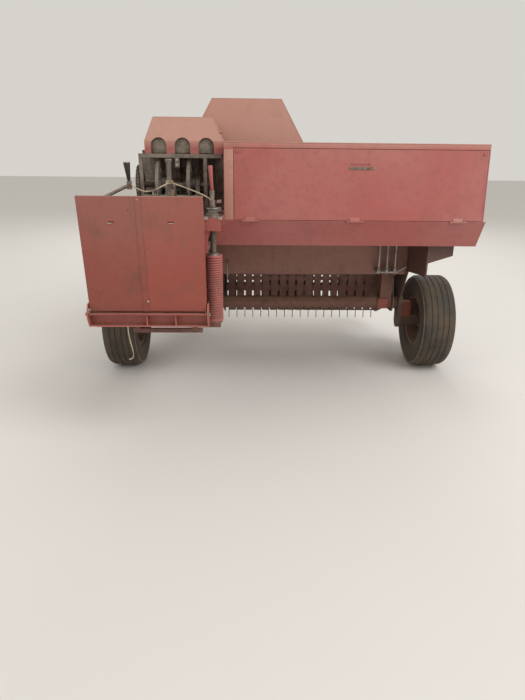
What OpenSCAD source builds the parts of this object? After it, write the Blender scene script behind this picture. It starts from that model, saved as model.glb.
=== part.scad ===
// Small square baler with a side pick-up, parked on its drawbar jack with the bale chute folded up.
// Axle frame: X to the right, Y forward from the axle, Z up from the ground, X = 0 at the chamber's middle.

/* [Bale chamber] */
// Clear width of the bale chamber
bale_w = 460; // [440:5:480]
// Clear height of the bale chamber
bale_h = 360; // [340:5:380]
// Thickness of the chamber's plates
plate = 8; // [6:1:10]
// Height of the chamber's floor above the ground
floor_z = 850; // [840:5:870]
// From the axle back to the chamber's rear end
chamber_rear = 1400; // [1360:10:1460]
// From the axle forward to the chamber's front end
chamber_front = 1750; // [1700:10:1800]
// Height of the rails under the chamber's floor
floor_rail_h = 60; // [50:1:70]
// Width of the rails under the chamber's floor
floor_rail_w = 60; // [50:1:70]
// How far the wall ribs stand out
rib_depth = 25; // [20:1:28]

/* [Feed channel] */
// Clear width of the feed channel beside the chamber
feed_w = 1500; // [1460:10:1540]
// From the axle back to the feed channel's back wall
feed_back = 180; // [170:5:190]
// From the axle forward to the front edge of the feed floor
feed_front = 200; // [180:5:205]
// From the axle forward to the front edge of the feed roof and of the opening into the chamber
feed_mouth = 360; // [350:5:380]
// Clear height of the feed channel
feed_h = 400; // [395:5:410]
// Thickness of the feed channel's side plate
side_t = 10; // [8:1:14]

/* [Twine box] */
// Length of the twine box along the axle
box_len = 1660; // [1600:10:1680]
// Gap from the chamber's wall to the left end of the twine box
box_gap = 120; // [110:5:130]
// How far the lower trough runs past the box's left end
trough_left = 70; // [40:5:75]
// Height of the slanting trough under the door
trough_h = 170; // [150:5:180]
// Depth of the twine box at the door's hinge
box_depth = 612; // [580:2:640]
// How far the trough slants in at its bottom
trough_slant = 100; // [80:5:120]
// Height of the door
door_h = 430; // [400:5:450]
// How far the door leans in at its top
door_lean = 45; // [30:5:60]
// Height of the rim over the door
box_rim = 36; // [30:1:50]
// Thickness of the twine box's sheet
box_t = 6; // [4:1:8]
// Thickness of the door with its folded edges
door_t = 18; // [14:1:22]

/* [Wheels] */
// Outer diameter of the tyres
tyre_d = 750; // [740:2:760]
// Section width of the tyres
tyre_w = 264; // [240:2:270]
// Diameter of the rims
rim_d = 388; // [370:2:400]
// Gap from the frame's side to the inner face of a tyre
wheel_gap = 118; // [112:1:130]
// Radius of the wheel spindles
spindle_r = 25; // [22:0.5:28]
// Outer diameter of the axle tube
axle_d = 100; // [90:1:100]
// Height of the axle tube's middle
axle_z = 530; // [520:2:540]

/* [Pick-up] */
// From the axle forward to the middle of the tine reel
reel_y = 550; // [546:1:556]
// Radius of the circle that the tine tips run on
tine_tip_r = 290; // [280:1:296]
// Distance from one tine to the next along the reel
tine_pitch = 74; // [70:1:76]
// Diameter of a tine's wire
tine_d = 7; // [5:0.5:8]
// Number of tine bars round the reel
bar_count = 4; // [3:1:5]
// Radius of the stripper bands over the front of the reel
band_r = 215; // [205:1:222]
// Gap between two stripper bands, where the tines run
band_slot = 18; // [15:1:22]
// Sheet thickness of the stripper bands
band_t = 4; // [3:0.5:6]

/* [Bale tension] */
// Outer diameter of the tension springs
spring_d = 100; // [90:1:106]
// Wire diameter of the tension springs
spring_wire = 12; // [10:0.5:12]
// Number of coils in a tension spring
coil_count = 29; // [24:1:30]
// From the chamber's outer wall to the middle of a tension spring
spring_gap = 82; // [80:1:86]
// Diameter of the threaded tension spindles
screw_d = 30; // [26:1:34]
// Height of the beam over the tension flap
beam_h = 70; // [60:2:80]

/* [Bale chute] */
// Length of the bale chute from its hinge to its free end
chute_len = 620; // [600:5:640]
// From the chamber's middle to the chute's right edge
chute_right = 284; // [276:2:290]
// From the chamber's middle to the chute's left edge
chute_left = 348; // [330:2:380]
// How far the folded chute leans back from upright
chute_lean = 5; // [3:1:7]

/* [Drawbar] */
// From the axle forward to the drawbar's pivot
pivot_y = 2450; // [2420:10:2500]
// From the drawbar's pivot to the middle of the hitch hole
drawbar_len = 1600; // [1500:10:1700]
// Angle of the parked drawbar to the right of straight ahead
drawbar_angle = 17; // [12:1:20]
// Radius of the hole in the hitch tongue
hitch_r = 16; // [14:0.5:18]
// Radius of the drawbar's pivot pin
pivot_r = 20; // [18:0.5:24]

/* [Flywheel] */
// Outer radius of the flywheel
flywheel_r = 320; // [300:5:325]
// Width of the flywheel's rim
flywheel_w = 80; // [70:2:90]
// Height of the input shaft
shaft_z = 1030; // [1020:5:1040]

/* [Hidden] */
$fn = 48;

// Fits: a shaft turning in a bore, and a seat between curved or separate pieces
run_gap = 0.05;
seat_gap = 0.3;
// Room beside a piece that moves
move_gap = 6;

// Main planes of the chamber
wall_in = bale_w / 2;
wall_out = wall_in + plate;
roof_z = floor_z + bale_h;
rail_z = floor_z - plate - floor_rail_h;
rib_x = wall_out + rib_depth;

// Main planes of the feed channel
feed_x0 = wall_out;
feed_x1 = feed_x0 + feed_w;
side_out = feed_x1 + side_t;
feed_roof_z = floor_z + feed_h;
feed_wall_y = -feed_back - plate;

// Twine box
box_x0 = wall_out + box_gap;
box_x1 = box_x0 + box_len;
box_front_y = feed_wall_y;
door_y = box_front_y - box_depth;
box_z0 = feed_roof_z - 150;
door_z0 = box_z0 + trough_h;
door_z1 = door_z0 + door_h;
box_z1 = door_z1 + box_rim;
latch_drop = 40;
door_hinge = [door_y - 9, door_z0 - 2];
door_pin_r = 4;
door_knuckles = [0.1, 0.5, 0.9];
door_knuckle_len = 64;
door_side = 60;

// Wheels
tyre_r = tyre_d / 2;
rim_r = rim_d / 2;
left_wheel_x = -wall_out - wheel_gap - tyre_w / 2;
right_wheel_x = side_out + wheel_gap + tyre_w / 2;
hub_r = spindle_r + 32;
knuckle_t = 25;
left_knuckle_x = left_wheel_x + tyre_w / 2 + 31;
spindle_end = 60;

// Tension gear
slat_h = 40;
tie_h = 24;
flap_front = 560;
flap_ties = [-flap_front - 90, -1010, -1160];
tie_w = 60;
beam_y = -chamber_rear + 100;
beam_z0 = roof_z + slat_h + tie_h;
beam_z1 = beam_z0 + beam_h;
beam_w = 96;
spring_x = wall_out + spring_gap;
spring_r = (spring_d - spring_wire) / 2;
spring_z0 = rail_z - 18;
spring_z1 = spring_z0 + coil_count * (spring_wire + 1);
anchor_z1 = rail_z - 32;
anchor_h = 24;

// Chute
sill_h = 76;
sill_t = 6;
sill_depth = 44;
sill_y = -chamber_rear;
hinge_r = 6;
hinge_y = sill_y - sill_depth - hinge_r - 7;
hinge_z = floor_z - plate - 2;
chute_t = 5;
chute_in = 18;
chute_lap = 3;

// Knotters
knotter_y = -330;
knotter_z = roof_z + 250;
knotter_x = [-105, 105];
needle_pivot = [120, rail_z - 22];
needle_r = 455;
needle_t = 12;

// Hoods
hood_x = [-184, box_x0 - 20];
hood_top_x = [-134, 262];
hood_z = [roof_z + 455, roof_z + 535, roof_z + 687];
hood_y = [-430, 60];
hood_top_y = [-345, -20];
hood_t = 4;
hood_hinge = [hood_x[0] - 14, hood_z[0] + 12];
hood_pin_r = 6;
hood_knuckles = [[-380, -320], [-100, -40]];
hood_rail_x = [172, 229];
hood_post_w = 24;
hood_post_y = [-436, -15];
cover_mid_x = 497;
cover_base = 426;
cover_top = 258;
cover_y = [75, 450];
cover_top_y = [105, 390];
cover_z = [feed_roof_z + 450, feed_roof_z + 510, feed_roof_z + 809];

// Pick-up
axle_r = axle_d / 2;
reel_z = axle_z;
reel_park = -12;
pickup_x0 = rib_x + 27;
pickup_x1 = feed_x1 - 48;
pickup_t = 8;
bar_r = 150;
bar_w = 25;
tine_edge = 28;
tine_count = floor((pickup_x1 - pickup_x0 - pickup_t - 2 * tine_edge) / tine_pitch) + 1;
tine_x0 = (pickup_x0 + pickup_t + pickup_x1) / 2 - (tine_count - 1) * tine_pitch / 2;
band_rear = reel_y - tine_tip_r - 25;
band_top_z = floor_z + 15;
journal_r = 20;

// Gauge wheel
gauge_r = 200;
gauge_w = 100;
gauge_reach = 800;
gauge_drop = 3.4;
gauge_y = gauge_reach * cos(gauge_drop);
gauge_z = axle_z - gauge_reach * sin(gauge_drop);
gauge_x = side_out + 47 + gauge_w / 2;
gauge_pin_r = 12;

// Front frame, drawbar and jack
bulkhead_t = 20;
bulkhead_y = chamber_front + bulkhead_t;
front_beam_w = 60;
front_beam_h = 100;
front_z = [440, 440 + front_beam_h];
ear_t = 20;
head_gap = 2;
drawbar_w = 100;
drawbar_z = [front_z[0] + ear_t + head_gap, front_z[1] - ear_t - head_gap];
hitch_t = 30;
hook_back = 545;
hook_h = 165;
jack_at = 950;
jack_side = drawbar_w / 2 + 45;
jack_r = 25;
jack_wall = 6;
jack_tube_z = [300, 860];
jack_foot_r = 85;
jack_foot_t = 12;

// Gearbox and flywheel
gearbox_len = 240;
gearbox_y1 = bulkhead_y + gearbox_len;
neck_len = 70;
flywheel_y0 = gearbox_y1 + neck_len + 20;
flywheel_y1 = flywheel_y0 + flywheel_w;
input_shaft_r = 17.5;
cradle = 52;
input_shaft_y1 = pivot_y + 10;
main_shaft_r = 30;

// The row frame's origin is under the middle of the whole machine's box
hitch_nose = 45;
hitch_y = pivot_y + drawbar_len * cos(drawbar_angle);
front_end = hitch_y + hitch_nose;
rear_end = hinge_y + (chute_in - chute_lap) * cos(chute_lean) - chute_len * sin(chute_lean);
origin_x = (left_wheel_x - tyre_w / 2 + right_wheel_x + tyre_w / 2) / 2;
origin_y = (front_end + rear_end) / 2;

// A box between two values on each axis
module block(x, y, z) {
    translate([x[0], y[0], z[0]]) cube([x[1] - x[0], y[1] - y[0], z[1] - z[0]]);
}

// A round bar along X
module bar_x(x, y, z, r) {
    translate([x[0], y, z]) rotate([0, 90, 0]) cylinder(h = x[1] - x[0], r = r);
}

// A round bar along Y
module bar_y(x, y, z, r) {
    translate([x, y[0], z]) rotate([-90, 0, 0]) cylinder(h = y[1] - y[0], r = r);
}

// A round bar along Z
module bar_z(x, y, z, r) {
    translate([x, y, z[0]]) cylinder(h = z[1] - z[0], r = r);
}

// A round bar from point a to point b
module rod(a, b, r) {
    d = b - a;
    len = norm(d);
    translate(a)
        rotate([0, acos(d[2] / len), atan2(d[1], d[0])])
            cylinder(h = len, r = r);
}

// An outline of Y and Z extruded along X
module plate_x(x, points) {
    translate([x[0], 0, 0]) rotate([90, 0, 90]) linear_extrude(x[1] - x[0]) polygon(points);
}

// An outline of X and Z extruded along Y
module plate_y(y, points) {
    translate([0, y[1], 0]) rotate([90, 0, 0]) linear_extrude(y[1] - y[0]) polygon(points);
}

// Children drawn in Y and Z, extruded along X
module extrude_x(x) {
    translate([x[0], 0, 0]) rotate([90, 0, 90]) linear_extrude(x[1] - x[0]) children();
}

// Points along an arc round c
function arc(c, r, a0, a1, steps) =
    [for (i = [0 : steps]) c + r * [cos(a0 + (a1 - a0) * i / steps), sin(a0 + (a1 - a0) * i / steps)]];

// A flat link: two round ends joined by their outer tangents
module link2d(p, q, rp, rq) {
    d = q - p;
    a = atan2(d[1], d[0]);
    t = acos((rp - rq) / norm(d));
    polygon(concat(arc(p, rp, a + t, a + 360 - t, 16), arc(q, rq, a - t, a + t, 16)));
}

// Everything below stands in the axle frame; this puts it in the row frame
module in_row_frame() {
    translate([-origin_x, -origin_y, 0]) children();
}

// Drawbar pieces are drawn straight ahead of the pivot and turned to the parked angle
module on_drawbar() {
    translate([0, pivot_y, 0]) rotate([0, 0, -drawbar_angle]) children();
}

// Bale chamber

module chamber_floor() {
    slot_y = [knotter_y - 60, knotter_y + 40];
    color("firebrick") difference() {
        union() {
            block([-wall_out, wall_out], [-chamber_rear, chamber_front], [floor_z - plate, floor_z]);
            for (s = [-1, 1])
                block([s * wall_out - (s > 0 ? floor_rail_w : 0), s * wall_out + (s < 0 ? floor_rail_w : 0)],
                    [-chamber_rear, chamber_front], [rail_z, floor_z - plate]);
            for (y = [-chamber_rear, -960, -560, 360, 900])
                block([floor_rail_w - wall_out, wall_out - floor_rail_w], [y, y + 40],
                    [floor_z - plate - 40, floor_z - plate]);
        }
        for (x = knotter_x) block([x - 12, x + 12], slot_y, [floor_z - plate - 1, floor_z + 1]);
    }
}

// A wall stretch with its three lengthwise ribs and upright posts
module wall_stretch(s, y, posts) {
    x_plate = s > 0 ? [wall_in, wall_out] : [-wall_out, -wall_in];
    x_rib = s > 0 ? [wall_out, rib_x] : [-rib_x, -wall_out];
    rib_h = 36;
    block(x_plate, y, [floor_z, roof_z]);
    for (z = [floor_z, (floor_z + roof_z - rib_h) / 2, roof_z - rib_h])
        block(x_rib, y, [z, z + rib_h]);
    for (p = posts) block(x_rib, [p, p + 50], [floor_z, roof_z]);
}

module chamber_left_wall() {
    color("firebrick")
        wall_stretch(-1, [-chamber_rear, chamber_front],
            [-chamber_rear, -1010, -620, -80, 400, 850, 1300, chamber_front - 50]);
}

module chamber_right_wall() {
    color("firebrick") {
        wall_stretch(1, [-chamber_rear, feed_wall_y], [-chamber_rear, -1010, -620]);
        wall_stretch(1, [feed_mouth, chamber_front], [feed_mouth, 850, 1300, chamber_front - 50]);
    }
}

module chamber_roof() {
    color("firebrick") difference() {
        union() {
            block([-wall_out, wall_out], [-flap_front, 450], [roof_z, roof_z + plate]);
            for (y = [-flap_front, 400])
                block([-wall_out, wall_out], [y, y + 50], [roof_z + plate, roof_z + plate + 30]);
        }
        for (x = knotter_x)
            block([x - 12, x + 12], [knotter_y - 60, knotter_y + 60], [roof_z - 1, roof_z + plate + 1]);
    }
}

// The cover over the plunger's crank
module plunger_cover() {
    h = 190;
    c = 90;
    y = [450, chamber_front];
    outer = [[-wall_out, roof_z], [-wall_out, roof_z + h - c], [-wall_out + c, roof_z + h],
        [wall_out - c, roof_z + h], [wall_out, roof_z + h - c], [wall_out, roof_z]];
    t = 5;
    inner = [[-wall_out + t, roof_z - 1], [-wall_out + t, roof_z + h - c - t / 2],
        [-wall_out + c + t / 2, roof_z + h - t], [wall_out - c - t / 2, roof_z + h - t],
        [wall_out - t, roof_z + h - c - t / 2], [wall_out - t, roof_z - 1]];
    color("firebrick") {
        difference() {
            plate_y(y, outer);
            plate_y([y[0] + t, y[1] - t], inner);
        }
        for (p = [y[0] + 400, y[0] + 860])
            plate_y([p, p + 24], [[-wall_out + c, roof_z + h], [-wall_out + c, roof_z + h + 8],
                [wall_out - c, roof_z + h + 8], [wall_out - c, roof_z + h]]);
    }
}

// Bale tension gear at the chamber's rear end

module tension_flap() {
    slats = [-160, 0, 160];
    slat_w = 90;
    strap_x = [rib_x + 2, rib_x + 31];
    pin_out = 4;
    y = [-chamber_rear + 12, -flap_front];
    color("firebrick") difference() {
        union() {
            for (x = slats) block([x - slat_w / 2, x + slat_w / 2], y, [roof_z, roof_z + slat_h]);
            for (p = concat(flap_ties, [beam_y - beam_w / 2]))
                block([-wall_in + 10, wall_in - 10], [p, p + (p < beam_y ? beam_w : tie_w)],
                    [roof_z + slat_h, roof_z + slat_h + tie_h]);
            block([-spring_x - 56, spring_x + 56], [beam_y - beam_w / 2, beam_y + beam_w / 2],
                [beam_z0, beam_z1]);
            for (s = [-1, 1]) {
                block(s > 0 ? strap_x : [-strap_x[1], -strap_x[0]], [beam_y - 40, beam_y + 4],
                    [roof_z - 54, beam_z0]);
                bar_x(s > 0 ? [rib_x, strap_x[1] + pin_out] : [-strap_x[1] - pin_out, -rib_x],
                    beam_y - 18, roof_z - 30, 14);
            }
        }
        block([-spring_x - 57, spring_x + 57], [beam_y - beam_w / 2 + 6, beam_y + beam_w / 2 - 6],
            [beam_z0 + 6, beam_z1 - 6]);
        for (s = [-1, 1]) bar_z(s * spring_x, beam_y, [beam_z0 - 1, beam_z1 + 1], screw_d / 2 + 1);
    }
}

// Close-wound extension springs, one each side
module tension_springs() {
    pitch = (spring_z1 - spring_z0) / coil_count;
    color("firebrick") for (s = [-1, 1]) translate([s * spring_x, beam_y, 0]) {
        translate([0, 0, spring_z0]) rotate_extrude() union() {
            for (i = [0 : coil_count - 1])
                translate([spring_r, (i + 0.5) * pitch]) circle(d = spring_wire, $fn = 24);
            translate([spring_r - 2.5, pitch / 2]) square([5, (coil_count - 1) * pitch]);
        }
    }
}

// Cranked screws, one row each side
crank_table = [
    // side, heading of the arm, its length and rise, length of the grip, its lean and its top radius
    [-1, 25, 205, 90, 95, 6, 17],
    [1, 94, 190, 40, 135, 8, 11]
];
crank_z = beam_z1 + 66;
grip_foot_r = 7;

module tension_cranks() {
    plug_r = spring_r - spring_wire / 2 - seat_gap;
    for (c = crank_table) translate([c[0] * spring_x, beam_y, 0]) {
        tip = [c[2] * cos(c[1]), c[2] * sin(c[1]), crank_z + c[3]];
        color("dimgray") {
            bar_z(0, 0, [spring_z1 - 70, crank_z + 22], screw_d / 2);
            bar_z(0, 0, [spring_z1 - 90, spring_z1 - 20], plug_r);
            bar_z(0, 0, [beam_z1 + seat_gap, beam_z1 + 16], 36);
            translate([0, 0, beam_z1 + 16]) cylinder(h = 26, r = 25, $fn = 6);
            rod([0, 0, crank_z], tip, 9);
            bar_z(tip[0], tip[1], [tip[2] - 22, tip[2] + 20], 14);
            translate(tip + [0, 0, 18]) rotate([0, -atan2(c[5], c[4]), 0])
                cylinder(h = c[4], r1 = grip_foot_r, r2 = c[6]);
        }
    }
}

// Brackets under the rails that the springs hook on, and the cross bar on its hangers
module spring_anchors() {
    bracket = [wall_out - floor_rail_w, spring_x + 34];
    bar = [-140, 250];
    bar_y = [beam_y - 32, beam_y - 14];
    bar_z = [anchor_z1 - 54, anchor_z1 - 30];
    hangers = [[-132, -108, floor_z - plate], [196, 220, anchor_z1 - anchor_h + 1]];
    color("darkred") {
        block(bar, bar_y, bar_z);
        for (h = hangers) block([h[0], h[1]], bar_y, [bar_z[0], h[2]]);
        for (s = [-1, 1]) {
            block(s > 0 ? bracket : [-bracket[1], -bracket[0]], [beam_y - 24, beam_y + 24],
                [anchor_z1 - anchor_h, anchor_z1]);
            block([s * wall_out - (s > 0 ? floor_rail_w : 0), s * wall_out + (s < 0 ? floor_rail_w : 0)],
                [beam_y - 24, beam_y + 24], [anchor_z1, rail_z]);
            bar_z(s * spring_x, beam_y, [anchor_z1, spring_z0 - seat_gap], 8);
            bar_z(s * spring_x, beam_y, [spring_z0 - seat_gap - 12, spring_z0 - seat_gap], spring_r);
        }
    }
}

// Fixed channel across the chamber's end, open to the rear, with an ear at each end for the chute's pin
sill_ear_t = 6;
sill_ear_h = 52;
sill_x = [-chute_left - move_gap - sill_ear_t, chute_right + move_gap + sill_ear_t];

module chute_sill() {
    x = sill_x;
    y = [sill_y - sill_depth, sill_y];
    z = [floor_z - plate - sill_h, floor_z - plate];
    ribs = [0.48, 0.72];
    color("darkred") difference() {
        union() {
            difference() {
                block(x, y, z);
                block([x[0] - 1, x[1] + 1], [y[0] - 1, y[1] - sill_t], [z[0] + sill_t, z[1] - sill_t]);
            }
            for (r = ribs) let (p = x[0] + r * (x[1] - x[0]))
                block([p, p + sill_t], [y[0], y[1] - 1], [z[0] + 1, z[1] - 1]);
            for (e = [x[0], x[1] - sill_ear_t])
                plate_x([e, e + sill_ear_t], [[y[0], z[0]], [hinge_y - 14, hinge_z - 20],
                    [hinge_y - 14, hinge_z + 8], [y[0], z[1] + sill_ear_h], [y[1] - 8, z[1] + sill_ear_h],
                    [y[1], z[1] + sill_ear_h - 10], [y[1], z[0]]]);
        }
        bar_x([x[0] - 1, x[1] + 1], hinge_y, hinge_z, hinge_r + run_gap);
    }
}

// The chute, drawn upright and tipped back to its parked lean: two sheets lapped at the middle
module bale_chute() {
    x = [-chute_left, chute_right];
    mid = (x[0] + x[1]) / 2;
    y0 = chute_in;
    z0 = 12;
    color("firebrick") translate([0, hinge_y, hinge_z]) rotate([chute_lean, 0, 0]) {
        difference() {
            union() {
                block(x, [y0, y0 + chute_t], [z0, chute_len]);
                block([mid - 22, mid + 6], [y0 - chute_lap, y0], [z0, chute_len]);
                for (s = [x[0], x[1] - chute_t])
                    plate_x([s, s + chute_t], [[y0, z0 + 12], [y0, chute_len], [y0 + 30, chute_len],
                        [y0 + 62, chute_len - 160], [y0 + 62, z0 + 60], [y0 + 24, z0], [8, 7], [8, -5],
                        [4, -9], [-5, -9], [-9, -5], [-9, 6]]);
                block(x, [y0, y0 + 22], [chute_len - chute_t, chute_len]);
            }
            for (p = [mid - 150, mid + 150])
                block([p - 16, p + 16], [y0 - 1, y0 + chute_t + 1], [chute_len - 130, chute_len - 122]);
        }
        bar_x([sill_x[0] - 5, sill_x[1] + 5], 0, 0, hinge_r);
    }
}

// Running gear

module axle_beam() {
    x = [left_knuckle_x, feed_x1];
    color("darkred") {
        bar_x(x, 0, axle_z, axle_r);
        for (s = [-1, 1])
            block([s * wall_out - (s > 0 ? floor_rail_w : 0), s * wall_out + (s < 0 ? floor_rail_w : 0)],
                [-60, 60], [axle_z, rail_z]);
        block([feed_x1 - 150, feed_x1 - 58], [-50, 50], [axle_z, floor_z - plate - 40]);
        for (s = [-1, 1])
            plate_x([s * (wall_out - 30) - 5, s * (wall_out - 30) + 5],
                [[-60, rail_z - 90], [-150, rail_z], [150, rail_z], [60, rail_z - 90]]);
    }
}

// Drop arm and spindle outside the frame; side is +1 on the right
module knuckle(side, x_face, wheel_x) {
    x_arm = side > 0 ? [x_face, x_face + knuckle_t] : [x_face - knuckle_t, x_face];
    tip = wheel_x + side * spindle_end;
    x_pin = side > 0 ? [x_arm[1] - 1, tip] : [tip, x_arm[0] + 1];
    color("darkred") {
        extrude_x(x_arm) link2d([0, axle_z], [0, tyre_r], axle_r + 22, spindle_r + 34);
        bar_x(x_pin, 0, tyre_r, spindle_r);
        bar_x(side > 0 ? [x_arm[1] - 1, wheel_x - 62] : [wheel_x + 62, x_arm[0] + 1], 0, tyre_r,
            spindle_r + 14);
        bar_x(side > 0 ? [tip, tip + 16] : [tip - 16, tip], 0, tyre_r, spindle_r + 10);
    }
}

module left_knuckle() { knuckle(-1, left_knuckle_x, left_wheel_x); }

module right_knuckle() { knuckle(1, side_out, right_wheel_x); }

// One side of the tyre's section, bead to tread, as radius and width; d is how far inside the skin
function tyre_side(s, d) =
    let (w = tyre_w / 2, flank = 62, shoulder = 46, bead = rim_r + seat_gap,
        low = [bead + flank + 16, w - flank], high = [tyre_r - shoulder, w - 20 - shoulder])
    concat([[bead - (d > 0 ? 1 : 0), s * (w - 44 - d)]],
        [for (a = [140 : -25 : 90]) [low[0] + (flank - d) * cos(a), s * (low[1] + (flank - d) * sin(a))]],
        [for (a = [75 : -25 : 0]) [high[0] + (shoulder - d) * cos(a),
            s * (high[1] + (shoulder - d) * sin(a))]]);

function reversed(list) = [for (i = [len(list) - 1 : -1 : 0]) list[i]];

module tyre_section() {
    grooves = [-66, -22, 22, 66];
    difference() {
        polygon(concat(tyre_side(1, 0), reversed(tyre_side(-1, 0))));
        polygon(concat(tyre_side(1, 20), reversed(tyre_side(-1, 20))));
        for (g = grooves) translate([tyre_r - 9, g - 4]) square([20, 8]);
    }
}

module tyre(x) {
    color("black") translate([x, 0, tyre_r]) rotate([0, 90, 0]) rotate_extrude($fn = 72) tyre_section();
}

// Rim, dish and hub in one; side is +1 on the right, and the hub's cap faces out
module rim(side, x) {
    w = tyre_w / 2;
    color("darkred") translate([x, 0, tyre_r]) rotate([0, side > 0 ? 90 : -90, 0]) difference() {
        union() {
            rotate_extrude($fn = 72) union() {
                polygon([[rim_r - 7, -w + 26], [rim_r + 14, -w + 26], [rim_r + 14, -w + 31],
                    [rim_r, -w + 34], [rim_r, w - 34], [rim_r + 14, w - 31], [rim_r + 14, w - 26],
                    [rim_r - 7, w - 26]]);
                polygon([[hub_r, -6], [rim_r - 50, 22], [rim_r - 7, 26], [rim_r - 7, 34],
                    [rim_r - 52, 31], [hub_r, 4]]);
                translate([spindle_r + run_gap, -55]) square([hub_r - spindle_r - run_gap, 96]);
            }
            for (a = [0 : 60 : 300])
                rotate([0, 0, a]) translate([hub_r + 18, 0, -2]) cylinder(h = 22, r = 11, $fn = 6);
        }
        for (a = [30 : 60 : 330])
            rotate([0, 0, a]) translate([(hub_r + rim_r) / 2 + 6, 0, -20]) cylinder(h = 80, r = 15);
    }
}

module left_tyre() { tyre(left_wheel_x); }

module left_rim() { rim(-1, left_wheel_x); }

module right_tyre() { tyre(right_wheel_x); }

module right_rim() { rim(1, right_wheel_x); }

// Feed channel

module feed_floor() {
    color("firebrick") {
        block([feed_x0, feed_x1], [feed_wall_y, feed_front], [floor_z - plate, floor_z]);
        for (y = [[feed_wall_y, feed_wall_y + 40], [feed_front - 40, feed_front]])
            block([feed_x0, feed_x1], y, [floor_z - plate - 40, floor_z - plate]);
        block([feed_x1 - 150, feed_x1 - 58], [feed_wall_y + 40, feed_front - 40],
            [floor_z - plate - 40, floor_z - plate]);
    }
}

module feed_back_wall() {
    color("firebrick") {
        block([feed_x0, feed_x1], [feed_wall_y, -feed_back], [floor_z, feed_roof_z]);
        block([feed_x0 + 60, feed_x1 - 100], [feed_wall_y - 30, feed_wall_y], [box_z0 - 60, box_z0]);
    }
}

// Side plate: closes the channel, holds the axle's end and carries the twine box on its rear arm
module feed_side_plate() {
    arm_y = door_y + trough_slant + 60;
    overhang = [side_out, box_x1 - 105];
    arm_drop = 220;
    color("firebrick") {
        plate_x([feed_x1, side_out], [
            [arm_y, box_z0], [arm_y, box_z0 - arm_drop], [feed_wall_y - 40, floor_z - plate - 10],
            [-axle_r - 30, axle_z + 40], [-axle_r - 30, axle_z - 70], [axle_r + 30, axle_z - 70],
            [axle_r + 30, axle_z + 40], [feed_front, floor_z - plate - 30],
            [feed_mouth + 30, floor_z + 120], [feed_mouth + 30, feed_roof_z], [feed_wall_y, feed_roof_z],
            [feed_wall_y, box_z0]]);
        for (y = [arm_y, feed_wall_y - 90])
            plate_y([y, y + 10], [[overhang[0], box_z0], [overhang[1], box_z0],
                [overhang[1], box_z0 - 75], [overhang[0], box_z0 - 128]]);
    }
}

fork_y = 95;
fork_slot = 70;

module feed_roof() {
    ends = [pickup_x0 + 40, pickup_x1 - 40];
    color("firebrick") difference() {
        union() {
            for (s = [0, 1]) {
                x = s == 0 ? [ends[0] - 14, ends[0] - 4] : [ends[1] + 4, ends[1] + 14];
                extrude_x(x) link2d([guard_y, guard_z], [feed_mouth - 30, feed_roof_z + 16], 20, 16);
                bar_x(s == 0 ? [x[0], ends[0] + 20] : [ends[1] - 20, x[1]], guard_y, guard_z, 10);
            }
            block([feed_x0, feed_x1], [feed_wall_y, feed_mouth], [feed_roof_z, feed_roof_z + 6]);
            block([feed_x0, feed_x1], [feed_mouth - 30, feed_mouth], [feed_roof_z + 6, feed_roof_z + 36]);
            for (y = [fork_y - fork_slot / 2 - 26, fork_y + fork_slot / 2 + 6])
                block([feed_x0 + 60, feed_x1 - 60], [y, y + 20], [feed_roof_z + 6, feed_roof_z + 32]);
        }
        block([feed_x0 + 90, feed_x1 - 110], [fork_y - fork_slot / 2, fork_y + fork_slot / 2],
            [feed_roof_z - 1, feed_roof_z + 7]);
    }
}

// Feeder forks: a beam over the roof's slot with curved tines that push the crop to the left
module feeder_forks() {
    beam = [feed_x0 + 130, feed_x1 - 150];
    z = feed_roof_z + 90;
    forks = [0.06, 0.38, 0.70, 0.98];
    color("slategray") {
        block(beam, [fork_y - 18, fork_y + 18], [z, z + 50]);
        for (f = forks) for (dy = [-11, 11]) {
            x = beam[0] + f * (beam[1] - beam[0]);
            rod([x, fork_y + dy, z + 10], [x, fork_y + dy, feed_roof_z - 120], 8);
            translate([x, fork_y + dy, feed_roof_z - 120]) sphere(10);
            rod([x, fork_y + dy, feed_roof_z - 120], [x - 50, fork_y + dy, feed_roof_z - 250], 8);
        }
    }
}

// The gear under the tall cover: post, crank wheel and link that swing the fork beam
module feeder_gear() {
    x = cover_mid_x;
    z = feed_roof_z + 6;
    hub = [fork_y, z + 285];
    color("dimgray") {
        block([x - 130, x + 130], [fork_y + 70, fork_y + 190], [z, z + 40]);
        block([x - 70, x + 70], [fork_y + 80, fork_y + 180], [z + 40, z + 230]);
        bar_y(x, [fork_y + 60, fork_y + 200], hub[1], 95);
        bar_y(x, [fork_y + 20, fork_y + 60], hub[1], 30);
        bar_y(x, [fork_y - 4, fork_y + 20], hub[1], 150);
        bar_y(x + 90, [fork_y - 40, fork_y - 4], hub[1] - 60, 24);
        block([x + 66, x + 114], [fork_y - 40, fork_y - 18], [z + 134, hub[1] - 60]);
        bar_y(x, [fork_y + 200, fork_y + 250], hub[1], 40);
        for (sx = [-1, 1])
            block([x + sx * 190 - 15, x + sx * 190 + 15], [fork_y + 120, fork_y + 150],
                [z, cover_z[0] + 4]);
        block([x - 205, x + 205], [fork_y + 120, fork_y + 150], [cover_z[0] - 26, cover_z[0] + 4]);
    }
}

// Hoods

// A four-sided hood: an upright skirt and a tapered top, as the meeting of two prisms
module hood_form(x_base, x_top, y_base, y_top, z) {
    intersection() {
        plate_y([y_base[0], y_base[1]], [[x_base[0], z[0]], [x_base[0], z[1]], [x_top[0], z[2]],
            [x_top[1], z[2]], [x_base[1], z[1]], [x_base[1], z[0]]]);
        plate_x([x_base[0], x_base[1]], [[y_base[0], z[0]], [y_base[0], z[1]], [y_top[0], z[2]],
            [y_top[1], z[2]], [y_base[1], z[1]], [y_base[1], z[0]]]);
    }
}

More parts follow.
